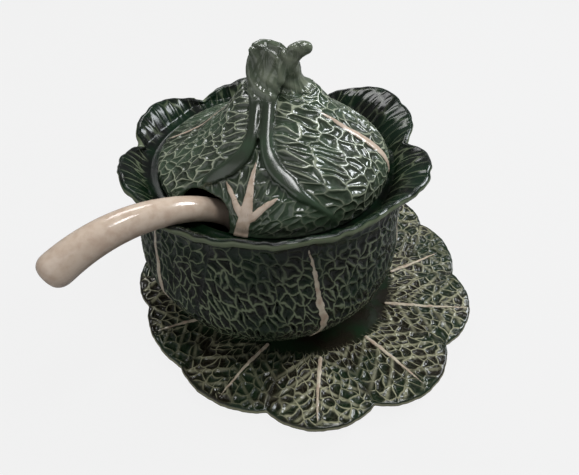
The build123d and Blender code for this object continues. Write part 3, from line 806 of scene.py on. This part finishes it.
def fused(name, parts, pitch, easing):
    """One skin round several overlapping solids, with the creases between them eased."""
    whole = bmesh.new()
    for part in parts:
        whole.from_mesh(part.data)
        mesh = part.data
        bpy.data.objects.remove(part)
        bpy.data.meshes.remove(mesh)
    piece = piece_from(name, whole)
    skin = piece.modifiers.new("skin", "REMESH")
    skin.mode = "VOXEL"
    skin.voxel_size = pitch * MM
    applied(piece)
    skin = bmesh.new()
    skin.from_mesh(piece.data)
    every_way = dict(use_axis_x=True, use_axis_y=True, use_axis_z=True)
    for _ in range(easing):
        bmesh.ops.smooth_vert(skin, verts=skin.verts, factor=0.5, **every_way)
    skin.to_mesh(piece.data)
    skin.free()
    piece.data.shade_smooth()
    return piece


def in_outline(xs, ys, outline):
    """Which points lie inside a closed outline."""
    within = np.zeros(len(xs), bool)
    for (ax, ay), (bx, by) in zip(outline, outline[1:] + outline[:1]):
        crosses = (ay > ys) != (by > ys)
        at = ax + (ys - ay) * (bx - ax) / (by - ay if by != ay else 1e-9)
        within ^= crosses & (xs < at)
    return within


def distance_to_path(points, path):
    """Distance in mm from each point to a line of straight runs, and how far along it, 0 to 1."""
    inside, along = distance_to_line(points, path, (0.0, 0.0))
    return -inside, along


# ---------------------------------------------------------------- lid
# The leaves' face over the dome, which leans to the front: height above the seat, then the radius
# towards the lean and the radius away from it.
DOME_LEAN = -50
DOME = (
    (69, 0, 0), (68.6, 7, 5), (67.5, 14, 10), (63, 26.5, 18.5), (55, 41, 28.5), (45, 56.5, 38.5),
    (34, 76, 52), (26, 87.5, 62), (17, 94.5, 78), (8, 96, 93), (3, 96, 95.5),
)
DOME_H, DOME_NEAR, DOME_FAR = np.array(DOME, float).T
DOME_M = run_lengths((DOME_NEAR + DOME_FAR) / 2, DOME_H)
DOME_END = DOME_M[-1]
DOME_WALL = 5.5
FINE_M = np.linspace(0, DOME_END, 300)
FINE_Z = SEAT_Z + through(DOME_M, DOME_H, FINE_M)
FINE_SINE = np.clip(-np.gradient(FINE_Z, FINE_M), 0, 1)
# The rim's underside and the locating lip, as radius and height. The ceiling follows the dome's face, at
# these lengths down it from the top.
LIP = ((95.6, 149.4), (94.4, 148), (91.5, 148), (91.5, 143))
LIP += ((90.8, 142), (87.2, 142), (86.5, 143), (86.5, 150))
CEILING = (112, 104, 95, 84, 72, 58, 44, 30, 16, 0)
RIM_ASIDE = 2.4  # the dome's foot stands to the right of the seat's axis
ARCH_AZIMUTH = 240
ARCH_HALF = 23.5
ARCH_ASIDE = -1
ARCH_TILT = 20
ARCH_TOP = SEAT_Z + 25.5
ARCH_ROUND = 16
ARCH_OUT = 96  # how far from the axis the arch's top is measured
WINDOW_SUNK = 2.2
FOLD_SUNK = 1.4
KNOB_Z = 214  # above this the leaves' tips open into the knob
# The turned-back edges of the two wrapping leaves, from the lid's rim to the knob: centre, facing,
# half width, half thickness, cup.
LEFT_FOLD = (
    ((-48, -64.2, 174), (-0.34, -0.58, 0.75), 1.4, 1.0, 0),
    ((-42, -64.3, 177.2), (-0.3, -0.58, 0.78), 4.4, 1.6, 0.3),
    ((-34, -63, 181.6), (-0.25, -0.55, 0.8), 5.6, 2.0, 0.9),
    ((-24.5, -60, 187), (-0.15, -0.55, 0.8), 6.0, 2.4, 0.5),
    ((-16.2, -53.8, 193), (-0.1, -0.55, 0.8), 5.4, 2.6, 0.5),
    ((-11.8, -44.9, 200.2), (-0.1, -0.6, 0.8), 4.6, 3.0, 0.5),
    ((-10.2, -34.2, 207.4), (-0.1, -0.6, 0.75), 4.2, 3.6, 0.5),
    ((-9.8, -22.8, 214), (-0.1, -0.75, 0.6), 5.0, 4.4, 1.2),
    ((-8.8, -14.5, 221), (-0.1, -0.9, 0.35), 7.6, 5.0, 2.0),
    ((-6.6, -9.5, 229), (-0.05, -1, 0.3), 11.0, 4.6, 3.0),
    ((-3.4, -7, 236.5), (0, -0.9, 0.4), 14.0, 4.2, 4.0),
    ((-0.8, -4, 242.6), (0, -0.85, 0.5), 14.8, 4.0, 4.2),
    ((0.6, -1, 247), (0, -0.8, 0.6), 13.2, 3.8, 3.4),
    ((1.2, 1.4, 249.8), (0, -0.6, 0.8), 10.0, 3.2, 2.0),
    ((1.6, 3.4, 251.2), (0, -0.4, 0.9), 6.0, 2.2, 0.6),
)
RIGHT_FOLD = (
    ((52.4, -83.8, 156.4), (0.5, -0.8, 0.2), 1.2, 1.2, 0),
    ((45.2, -84.8, 166), (0.45, -0.75, 0.5), 1.5, 1.4, 0),
    ((33.6, -82.8, 174), (0.3, -0.7, 0.7), 2.6, 1.8, 0),
    ((24, -79.5, 179), (0.2, -0.65, 0.75), 4.6, 2.2, 0.5),
    ((15.6, -73.2, 184.2), (0.15, -0.6, 0.8), 5.6, 2.0, 0.9),
    ((7.4, -66.4, 188.6), (0.1, -0.55, 0.8), 6.3, 2.4, 0.5),
    ((1.6, -57, 194.2), (0.1, -0.55, 0.8), 5.5, 2.6, 0.5),
    ((-0.6, -46.8, 201), (0.05, -0.6, 0.8), 4.8, 3.0, 0.5),
    ((-0.4, -35, 208.4), (0.05, -0.6, 0.75), 4.2, 3.4, 1.0),
    ((0, -23.8, 215), (0.05, -0.75, 0.6), 4.6, 4.2, 1.0),
    ((1.8, -16.5, 221), (0.05, -0.9, 0.35), 5.2, 5.0, 0.8),
    ((5, -12.5, 229), (0.1, -1, 0.2), 6.0, 5.4, 0.8),
    ((9.6, -10, 237), (0.15, -1, 0.1), 6.6, 5.4, 1.0),
    ((14.4, -8, 243.4), (0.15, -1, 0), 6.8, 5.2, 1.0),
    ((19.8, -6.5, 248), (0.1, -1, 0), 6.0, 5.0, 0.6),
    ((25.2, -5.5, 249), (0.05, -1, 0), 5.0, 4.8, 0),
    ((28.6, -5, 245.4), (0.05, -1, 0), 3.6, 4.2, 0),
)
# The leaves' blades climb to the knob behind their folds, and the right one flares over the crown:
# the middle of each level section, half its width and half its depth.
RIGHT_BLADE = (
    (19, 2, 192, 34, 33), (18.2, 2, 201, 28.5, 27), (17.2, 2, 208, 23, 21),
    (16, 1, 214, 17.5, 15.5), (14.6, 0, 220, 12.8, 11.5), (13.8, -1, 227, 9.8, 9.2),
    (14.6, -3, 235, 8.2, 7.5), (17, -4, 242.5, 6, 5.5),
)
LEFT_BLADE = (
    (-7, 2, 196, 26, 28), (-7, 2, 206, 18.5, 20), (-6, 0, 215, 12, 13), (-4.5, -3, 224, 9.5, 9),
    (-3, -3.5, 234, 10, 6),
)
# Where the left leaf ends over the front window, from the rim to the knob, then the window's outline.
LEFT_EDGE = ((-83, -50, 158), (-66, -59.5, 166), (-51, -64.8, 172.4), (-36.4, -63.3, 180.3))
LEFT_EDGE += tuple(station[0] for station in LEFT_FOLD[3:9])
right_line = [station[0] for station in RIGHT_FOLD[:11]]
window = [spot[:2] for spot in LEFT_EDGE[::-1]]
window += [(-120, -70), (-60, -140), (90, -140)]
window += [spot[:2] for spot in right_line]
outer_lengths = np.linspace(0, DOME_END, 76)
lid_rings = len(outer_lengths) + len(LIP) + len(CEILING)


def face_radius(azimuth, length):
    """Radius of the dome's face in a direction, a given length down it from the top."""
    near, far = through(DOME_M, DOME_NEAR, length), through(DOME_M, DOME_FAR, length)
    middle, shift = (near + far) / 2, (near - far) / 2
    swing = np.radians(azimuth - DOME_LEAN)
    radius = shift * np.cos(swing) + np.sqrt(np.maximum(middle**2 - (shift * np.sin(swing)) ** 2, 0))
    low = smooth(8, 45, length)
    radius = radius + RIM_ASIDE * np.cos(np.radians(azimuth)) * low
    left_hollow = 4.5 * smooth(30, 62, length) * smooth(DOME_END, DOME_END - 22, length)
    right_swell = 4.5 * smooth(15, 40, length) * smooth(DOME_END, DOME_END - 35, length)
    radius = radius - left_hollow * smooth(75, 20, np.abs(turn_between(azimuth, 168)))
    return radius + right_swell * smooth(75, 20, np.abs(turn_between(azimuth, 20)))


def lid_form(azimuth, ring):
    radius, height = np.zeros(len(ring)), np.zeros(len(ring))
    for i, length in enumerate(outer_lengths):
        here = ring == i
        r, z = face_radius(azimuth[here], length), np.interp(length, FINE_M, FINE_Z)
        sine = np.interp(length, FINE_M, FINE_SINE)
        swing = np.radians(azimuth[here])
        plan_x, plan_y = r * np.cos(swing), r * np.sin(swing)
        flat = level(plan_x, plan_y)
        left_gap, _ = distance_to_path(flat, [(x, y, 0) for x, y, _ in LEFT_EDGE])
        right_gap, _ = distance_to_path(flat, [(x, y, 0) for x, y, _ in right_line])
        gap = np.minimum(left_gap, right_gap)
        in_front = in_outline(plan_x, plan_y, window)
        swelling = np.where(right_gap < left_gap, 4.6, 3.0) * smooth(3, 13, gap) * smooth(60, 20, gap)
        swelling = swelling * smooth(DOME_END - 2, DOME_END - 26, length)
        sunk = np.where(in_front, WINDOW_SUNK * smooth(0, 2.5, gap), -swelling)
        radius[here] = r - sunk * sine
        height[here] = z - sunk * math.sqrt(1 - sine**2)
    for i, (r, z) in enumerate(LIP, len(outer_lengths)):
        here = ring == i
        radius[here], height[here] = r + RIM_ASIDE * np.cos(np.radians(azimuth[here])) * (r > 92), z
    for i, length in enumerate(CEILING, len(outer_lengths) + len(LIP)):
        here = ring == i
        sine = np.interp(length, FINE_M, FINE_SINE)
        under = face_radius(azimuth[here], length) - DOME_WALL * sine
        radius[here] = np.maximum(np.minimum(under, 86.5), 0) * (length > 0)
        height[here] = np.interp(length, FINE_M, FINE_Z) - DOME_WALL * math.sqrt(1 - sine**2)
    return radius, height


def off_fold(points, fold):
    """Distance in mm outside the strip that a fold's stations lie along."""
    centres, _, widths, _, _ = zip(*fold)
    gap, along = distance_to_path(points, centres)
    return gap - np.interp(along, np.linspace(0, 1, len(fold)), widths)


def arch_gap(points):
    """Distance in mm outside the ladle's arch, looking along it."""
    swing = math.radians(ARCH_AZIMUTH)
    sideways = points[:, 1] * math.cos(swing) - points[:, 0] * math.sin(swing)
    ahead = points[:, 0] * math.cos(swing) + points[:, 1] * math.sin(swing)
    past_side = np.abs(sideways - ARCH_ASIDE) - (ARCH_HALF - ARCH_ROUND)
    top = ARCH_TOP - ARCH_ROUND - (ARCH_OUT - ahead) * math.tan(math.radians(ARCH_TILT))
    past_top = points[:, 2] - top
    gap = np.hypot(np.maximum(past_side, 0), np.maximum(past_top, 0)) - ARCH_ROUND
    return np.where(ahead > 0, gap, 99)


def arch_cutter():
    """A round-topped block that clears the way for the ladle's stalk."""
    block = bmesh.new()
    bmesh.ops.create_cube(block, size=1)
    bmesh.ops.scale(block, verts=block.verts, vec=(110 * MM, 2 * ARCH_HALF * MM, 80 * MM))
    bmesh.ops.translate(block, verts=block.verts, vec=(55 * MM, ARCH_ASIDE * MM, (ARCH_TOP - 40) * MM))
    tops = [e for e in block.edges if all(v.co.z > (ARCH_TOP - 1) * MM for v in e.verts)]
    upper = [e for e in tops if abs(e.verts[0].co.y - e.verts[1].co.y) < MM]
    bmesh.ops.bevel(
        block, geom=upper, offset=ARCH_ROUND * MM, segments=10, profile=0.5, affect="EDGES", material=-1
    )
    tilt = Matrix.Rotation(math.radians(-ARCH_TILT), 3, "Y")
    bmesh.ops.rotate(block, verts=block.verts, cent=(ARCH_OUT * MM, 0, ARCH_TOP * MM), matrix=tilt)
    swing = Matrix.Rotation(math.radians(ARCH_AZIMUTH), 3, "Z")
    bmesh.ops.rotate(block, verts=block.verts, cent=(0, 0, 0), matrix=swing)
    bmesh.ops.translate(block, verts=block.verts, vec=(AXIS[0] * MM, AXIS[1] * MM, 0))
    bmesh.ops.recalc_face_normals(block, faces=block.faces)
    return piece_from("arch_cutter", block)


def moved(stations, sunk):
    """Stations set round the tureen's axis, and let into the dome against their facing."""
    placed = []
    for centre, facing, *rest in stations:
        into = np.array(facing, float) / np.linalg.norm(facing) * sunk
        placed.append((np.array(centre) + (*AXIS, 0) - into, facing, *rest))
    return placed


dome = turned("dome", lid_form, lid_rings, 360, AXIS)
cutter = arch_cutter()
cut = dome.modifiers.new("arch", "BOOLEAN")
cut.operation = "DIFFERENCE"
cut.solver = "EXACT"
cut.object = cutter
applied(dome)
bpy.data.objects.remove(cutter)
lid_parts = [dome]
for name, line in (("left_fold", LEFT_FOLD), ("right_fold", RIGHT_FOLD)):
    lid_parts.append(swept(name, moved(line, FOLD_SUNK)))
for name, sections in (("right_blade", RIGHT_BLADE), ("left_blade", LEFT_BLADE)):
    line = [(middle, (0, -1, 0), wide, deep, 0) for *middle, wide, deep in sections]
    lid_parts.append(swept(name, moved(line, 0)))
lid = fused("lid_of_leaves", lid_parts, pitch=1.17, easing=3)

points, normals, radius, azimuth, height = survey(lid, AXIS)
crown = np.interp(-height, -FINE_Z, FINE_M)
face_gap = (radius - face_radius(azimuth, crown)) * np.interp(crown, FINE_M, FINE_SINE)
outer = (face_gap > -3.9) & (height > SEAT_Z + 1) | (height > KNOB_Z)
outer &= (normals[:, 2] > -0.5) | (height > KNOB_Z)
in_window = in_outline(points[:, 0], points[:, 1], window)
off_folds = np.minimum(off_fold(points, LEFT_FOLD[:9]), off_fold(points, RIGHT_FOLD[:11]))
right_leaf = (turn_between(azimuth, -90) > 0) & (turn_between(azimuth, 95) < 0)
# Midribs on the dome, as plan points from its crown to its rim.
RIGHT_RIB = ((13, -14), (24, -18), (38, -19.5), (53, -17.5), (67, -17), (79, -18.5), (88, -21), (95, -24))
LEFT_RIB = ((-20, 5), (-40, 8.5), (-62, 10.5), (-76, 11), (-86, 12))
right_line_at, left_line_at = [polar(np.array(line, float)) for line in (RIGHT_RIB, LEFT_RIB)]
right_rib_at = np.interp(radius, *right_line_at)
left_rib_at = np.interp(radius, *left_line_at)
rib_turn = np.radians(turn_between(azimuth, np.where(right_leaf, right_rib_at, left_rib_at)))
along_leaf = crown / np.where(right_leaf, 12.0, 10.5) + right_leaf * 13.3
across_leaf = rib_turn * np.maximum(radius, 10) / np.where(right_leaf, 10.5, 9.0)
across_leaf = across_leaf + np.sign(rib_turn) * 3.1 + right_leaf * 7.7
leaf_place = level(along_leaf, across_leaf)
window_up, window_side = DOME_END + 8 - crown, radius * np.radians(turn_between(azimuth, -100))
reach, fan = np.hypot(window_up, window_side), np.arctan2(window_side, window_up)
window_place = level(reach / 12 + 51, fan * 6.5 + 23)
leaf_place = np.where(in_window[:, None], window_place, leaf_place)
on_knob = smooth(KNOB_Z + 2, KNOB_Z + 8, height)
knob_turn = np.degrees(np.arctan2(points[:, 1] + 4, points[:, 0] - np.where(points[:, 0] > 6, 14, -3)))
streak_place = level(height / 26 + 80, knob_turn / 24)
leaf_place = np.where((height > KNOB_Z + 4)[:, None], streak_place, leaf_place)
off_arch = smooth(1.0, 5.0, arch_gap(points) + np.where(height > ARCH_TOP + 12, 50, 0))


def on_dome(plan):
    """Points of a plan line set on the dome's face."""
    placed = []
    for x, y in plan:
        rings = face_radius(math.degrees(math.atan2(y, x)), FINE_M)
        placed.append((x, y, np.interp(math.hypot(x, y), rings, FINE_Z)))
    return placed


rib = np.full(len(points), OUTSIDE)
rib_mound = np.zeros(len(points))
FRONT_STALK = ((-17, -95.5, 149), (-16.2, -94, 153), (-14.5, -91.8, 161), (-12.6, -88.2, 167))
FRONT_STALK += ((-11.2, -79.7, 174.5), (-9.8, -69.6, 181.4), (-7.2, -57.5, 189.2))
LEFT_PRONG = ((-15, -90, 164), (-17.3, -88.9, 166), (-22.6, -78.7, 173), (-28.6, -67.5, 178))
RIGHT_PRONG = ((-12, -91, 163), (-7.9, -90.8, 165), (0, -86.1, 171), (8.6, -81.6, 175.3))
# Each stalk or midrib: its line, its half widths along it, and whether it lies in the front window.
STALKS = (
    (FRONT_STALK, (5.8, 5.0, 4.6, 4.2, 3.1, 2.3, 1.7, 0.6), True),
    (LEFT_PRONG, (2.6, 2.8, 2.2, 1.9, 0.8), True),
    (RIGHT_PRONG, (3.2, 2.9, 2.5, 2.1, 1.0), True),
    (on_dome(RIGHT_RIB), (0.5, 0.9, 1.4, 2.3, 3.2, 4.0, 3.8, 2.2), False),
    (on_dome(LEFT_RIB), (0.4, 0.7, 1.0, 1.2, 1.4, 1.3, 0.8), False),
)
for line, widths, in_front in STALKS:
    inside, _ = distance_to_line(points, line, widths, normals)
    inside = np.where(in_window == in_front, inside, OUTSIDE)
    rib = np.maximum(rib, inside)
    rib_mound = np.maximum(rib_mound, smooth(-1.6, 1.2, inside) * 1.4)
rib = np.where(outer, rib, OUTSIDE)
off_rib = 1 - smooth(-1.2, 0.3, rib)
veined = outer * smooth(SEAT_Z + 1.5, SEAT_Z + 5.5, height) * off_arch * off_rib
veined = veined * smooth(-0.5, 2.5, off_folds) * smooth(6, 16, radius) * (1 - on_knob)
veined = veined * np.where(in_window, 0.7, 1.0)
# the knob's streaks are set strong partly to lighten the tips' colour, a painted highlight
streaked = outer * on_knob * 0.45
back_seam = np.abs(np.radians(turn_between(azimuth, 95)) * radius)
veined *= np.where(points[:, 1] > 0, smooth(0.8, 3, back_seam), 1)
# the knob's leaf tips ripple aslant; their colour is lightened all over and more on each ripple's crest,
# partly thin glaze there and partly painted highlight for the reflections on the glossy ripples
aslant = (points[:, 0] * 0.75 + height * 0.65 + 0.3 * points[:, 1]) * math.tau / 9
wave = np.sin(aslant + 1.4 * np.sin(height / 5) + 1.3 * np.sin(knob_turn / 24))
painted_knob_sheen = outer * on_knob * (0.24 + 0.26 * smooth(-0.8, 1.0, wave))
carve(
    lid,
    1.5 * veined + 0.8 * streaked,
    leaf_place=leaf_place,
    veined=veined + streaked,
    side_vein=painted_knob_sheen,
    rib=rib,
    lip=0 * rib + NO_EDGE,
)
ripples = 0.6 * on_knob * wave * smooth(22, 14, points[:, 0]) * smooth(253, 248, height)
raise_by(lid, outer * (rib_mound * off_arch + ripples))
# The lid's colours are lighter than the bowl's, its cells most: painted sheen for the broad reflections on
# its upper faces.
glaze_over(
    lid,
    "lid_green_glaze",
    ((0.036, 0.060, 0.034), (0.026, 0.036, 0.022), (0.330, 0.360, 0.260), CREAM, STAINED_CREAM),
    gloss=(0.12, 0.26),
)
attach(lid, "lid")
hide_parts("lid")


# ---------------------------------------------------------------- ladle
LADLE_ANGLE = 219.4
LADLE_WAY = np.array(on_circle(1, LADLE_ANGLE))
LADLE_CENTRE = np.array(on_circle(26.7, LADLE_ANGLE + 90)) + AXIS
CUP_CENTRE = LADLE_CENTRE + 7 * LADLE_WAY
CUP_BASE_Z = FOOT_Z + 13
CUP_TALL = 36
# The cup's line from the middle of its hollow over the rim to the middle of its base, as radius and height.
CUP_LINE = ((0, 3.5), (8, 3.5), (15, 5.2), (22, 9.5), (27, 15), (30, 22), (31.2, 29))
CUP_LINE += ((31.5, 34.6), (32, 35.7), (33.2, 36), (34.4, 35.6), (35, 34.4), (34.7, 28))
CUP_LINE += ((32.6, 19.5), (28.5, 12), (22.5, 5.4), (15.5, 1.2), (12, 0), (6, 0), (0, 0))
# What pulls on the handle's line in the ladle's upright plane: distance out and height.
HANDLE_BENDS = np.array(((42, 42), (41, 118), (84, 162), (154, 177), (187.75, 161)), float)


def handle_line(count):
    """Points of the smooth line that HANDLE_BENDS pull on."""
    knots = np.array([0, 0, 0, 1, 2, 3, 3, 3], float)
    spots = []
    for t in np.linspace(0, 3 - 1e-9, count):
        shares = [(knots[i] <= t) & (t < knots[i + 1]) for i in range(7)]
        for degree in (1, 2):
            raised = []
            for i in range(7 - degree):
                left, right = knots[i + degree] - knots[i], knots[i + degree + 1] - knots[i + 1]
                value = (t - knots[i]) / left * shares[i] if left else 0
                value += (knots[i + degree + 1] - t) / right * shares[i + 1] if right else 0
                raised.append(value)
            shares = raised
        spots.append(np.array(shares) @ HANDLE_BENDS)
    return np.array(spots)


def cup_form(_, ring):
    radii, heights = np.array(CUP_LINE).T
    return radii[ring], heights[ring] + CUP_BASE_Z


handle_spots = handle_line(26)
handle_last = len(handle_spots) - 1
handle_stations = []
for i, (out, up) in enumerate(handle_spots):
    ahead = handle_spots[min(i + 1, handle_last)] - handle_spots[max(i - 1, 0)]
    facing = (*(-ahead[1] * LADLE_WAY), ahead[0])
    half = np.interp(i / handle_last, (0, 0.5, 1), (9, 9.5, 12.5))
    handle_stations.append(((*(LADLE_CENTRE + out * LADLE_WAY), up), facing, half, half, 0))
end = handle_spots[-1] - handle_spots[-2]
end /= np.linalg.norm(end)
# the handle's end rounds off
for step, half in ((5, 11.8), (8.6, 9.4), (10.9, 5.6)):
    out, up = handle_spots[-1] + end * step
    handle_stations.append(((*(LADLE_CENTRE + out * LADLE_WAY), up), facing, half, half, 0))
cup = turned("cup", cup_form, len(CUP_LINE), 120, CUP_CENTRE)
stalk = swept("stalk", handle_stations, sides=36, between=4)
ladle = fused("cream_ladle", [cup, stalk], pitch=1.2, easing=3)

_, _, radius, azimuth, height = survey(ladle, CUP_CENTRE)
above_base = height - CUP_BASE_Z
on_stalk = smooth(54, 74, height + 2.5 * ripple(azimuth / 9, 2.0))
reach = np.hypot(radius, above_base)
leaf_place = level(reach / 9 + 3, np.radians(azimuth) * 5 + 0.4 * reach / 9)
veined = smooth(64, 50, height) * smooth(1.5, 4, np.abs(above_base - CUP_TALL)) * smooth(31, 34, radius)
carve(
    ladle,
    veined,
    leaf_place=leaf_place,
    veined=veined,
    side_vein=0 * veined,
    rib=on_stalk * 3 - 1.5,
    lip=0 * veined + NO_EDGE,
)
glaze_over(
    ladle,
    "ladle_cream_glaze",
    (
        (0.020, 0.042, 0.024),
        (0.016, 0.018, 0.011),
        (0.120, 0.150, 0.085),
        (0.55, 0.445, 0.355),
        (0.46, 0.35, 0.27),
    ),
    gloss=(0.10, 0.18),
    pinholes=0.0,
)
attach(ladle, "ladle")
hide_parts("ladle")


# ---------------------------------------------------------------- floor, light and camera
def floor_finish():
    """Plain pale ground: it keeps the object's shadow, and the camera sees it near white."""
    finish, tree, shader = glaze_nodes("pale_floor")
    shader.inputs["Base Color"].default_value = (0.32, 0.32, 0.32, 1)
    shader.inputs["Roughness"].default_value = 0.9
    shader.inputs["Specular IOR Level"].default_value = 0.1
    pale = add(tree, "ShaderNodeEmission", {"Color": (0.93, 0.93, 0.93, 1), "Strength": 1.0})
    seen = tree.nodes.new("ShaderNodeLightPath")
    share = sums(tree, "MULTIPLY", seen.outputs["Is Camera Ray"], 0.92)
    blend = add(tree, "ShaderNodeMixShader", {0: share})
    tree.links.new(shader.outputs[0], blend.inputs[1])
    tree.links.new(pale.outputs[0], blend.inputs[2])
    output = next(node for node in tree.nodes if node.type == "OUTPUT_MATERIAL")
    tree.links.new(blend.outputs[0], output.inputs["Surface"])
    return finish


ground = bmesh.new()
bmesh.ops.create_grid(ground, x_segments=1, y_segments=1, size=4.0)
floor = piece_from("floor", ground, floor_finish())


def soft_light(name, place, size, power, colour=(1, 1, 1)):
    """A rectangular lamp that points at the tureen's middle. Places are in metres."""
    lamp = bpy.data.lights.new(name, "AREA")
    lamp.shape = "RECTANGLE"
    lamp.size, lamp.size_y = size
    lamp.energy = power
    lamp.color = colour
    light = bpy.data.objects.new(name, lamp)
    light.location = place
    aim = Vector((AXIS[0] * MM, AXIS[1] * MM, 0.12)) - Vector(place)
    light.rotation_euler = aim.to_track_quat("-Z", "Y").to_euler()
    bpy.context.scene.collection.objects.link(light)


soft_light("window_light", (0.95, 0.6, 1.0), (0.5, 0.4), 14, (0.93, 0.97, 1.0))
soft_light("front_fill", (-0.9, -1.1, 1.1), (2.0, 1.4), 9)
soft_light("ceiling_light", (-0.3, 0.8, 1.15), (0.6, 0.4), 7)
soft_light("overhead", (0.35, -0.15, 1.4), (0.4, 0.3), 7)

world = bpy.data.worlds.new("studio")
bpy.context.scene.world = world
world.use_nodes = True
sky = world.node_tree
room = sky.nodes["Background"]
room.inputs["Color"].default_value = (0.85, 0.88, 0.92, 1)
room.inputs["Strength"].default_value = 0.2
backdrop = add(sky, "ShaderNodeBackground", {"Color": (0.905, 0.905, 0.905, 1), "Strength": 1.0})
seen = sky.nodes.new("ShaderNodeLightPath")
chosen = add(sky, "ShaderNodeMixShader", {0: seen.outputs["Is Camera Ray"]})
sky.links.new(room.outputs[0], chosen.inputs[1])
sky.links.new(backdrop.outputs[0], chosen.inputs[2])
sky.links.new(chosen.outputs[0], sky.nodes["World Output"].inputs["Surface"])

# The camera looks down at the middle of the scene from the front, a little rolled.
CAMERA_LENS = 31.09
CAMERA_AIM = Vector((-0.01458, 0.06554, 0))
CAMERA_AWAY = 0.57113
CAMERA_HEIGHT = math.radians(44.72)
CAMERA_ROLL = math.radians(2.0)
camera_data = bpy.data.cameras.new("camera")
camera_data.sensor_width = 36
camera_data.lens = CAMERA_LENS
camera = bpy.data.objects.new("camera", camera_data)
bpy.context.scene.collection.objects.link(camera)
bpy.context.scene.camera = camera
back = Vector((0, -math.cos(CAMERA_HEIGHT), math.sin(CAMERA_HEIGHT)))
across = Vector((1, 0, 0))
up = back.cross(across)
camera_x = math.cos(CAMERA_ROLL) * across + math.sin(CAMERA_ROLL) * up
camera_y = -math.sin(CAMERA_ROLL) * across + math.cos(CAMERA_ROLL) * up
turn = Matrix((camera_x, camera_y, back)).transposed().to_4x4()
camera.matrix_world = Matrix.Translation(CAMERA_AIM + back * CAMERA_AWAY) @ turn
camera_data.clip_start = 0.01

bpy.context.scene.view_settings.view_transform = "Standard"
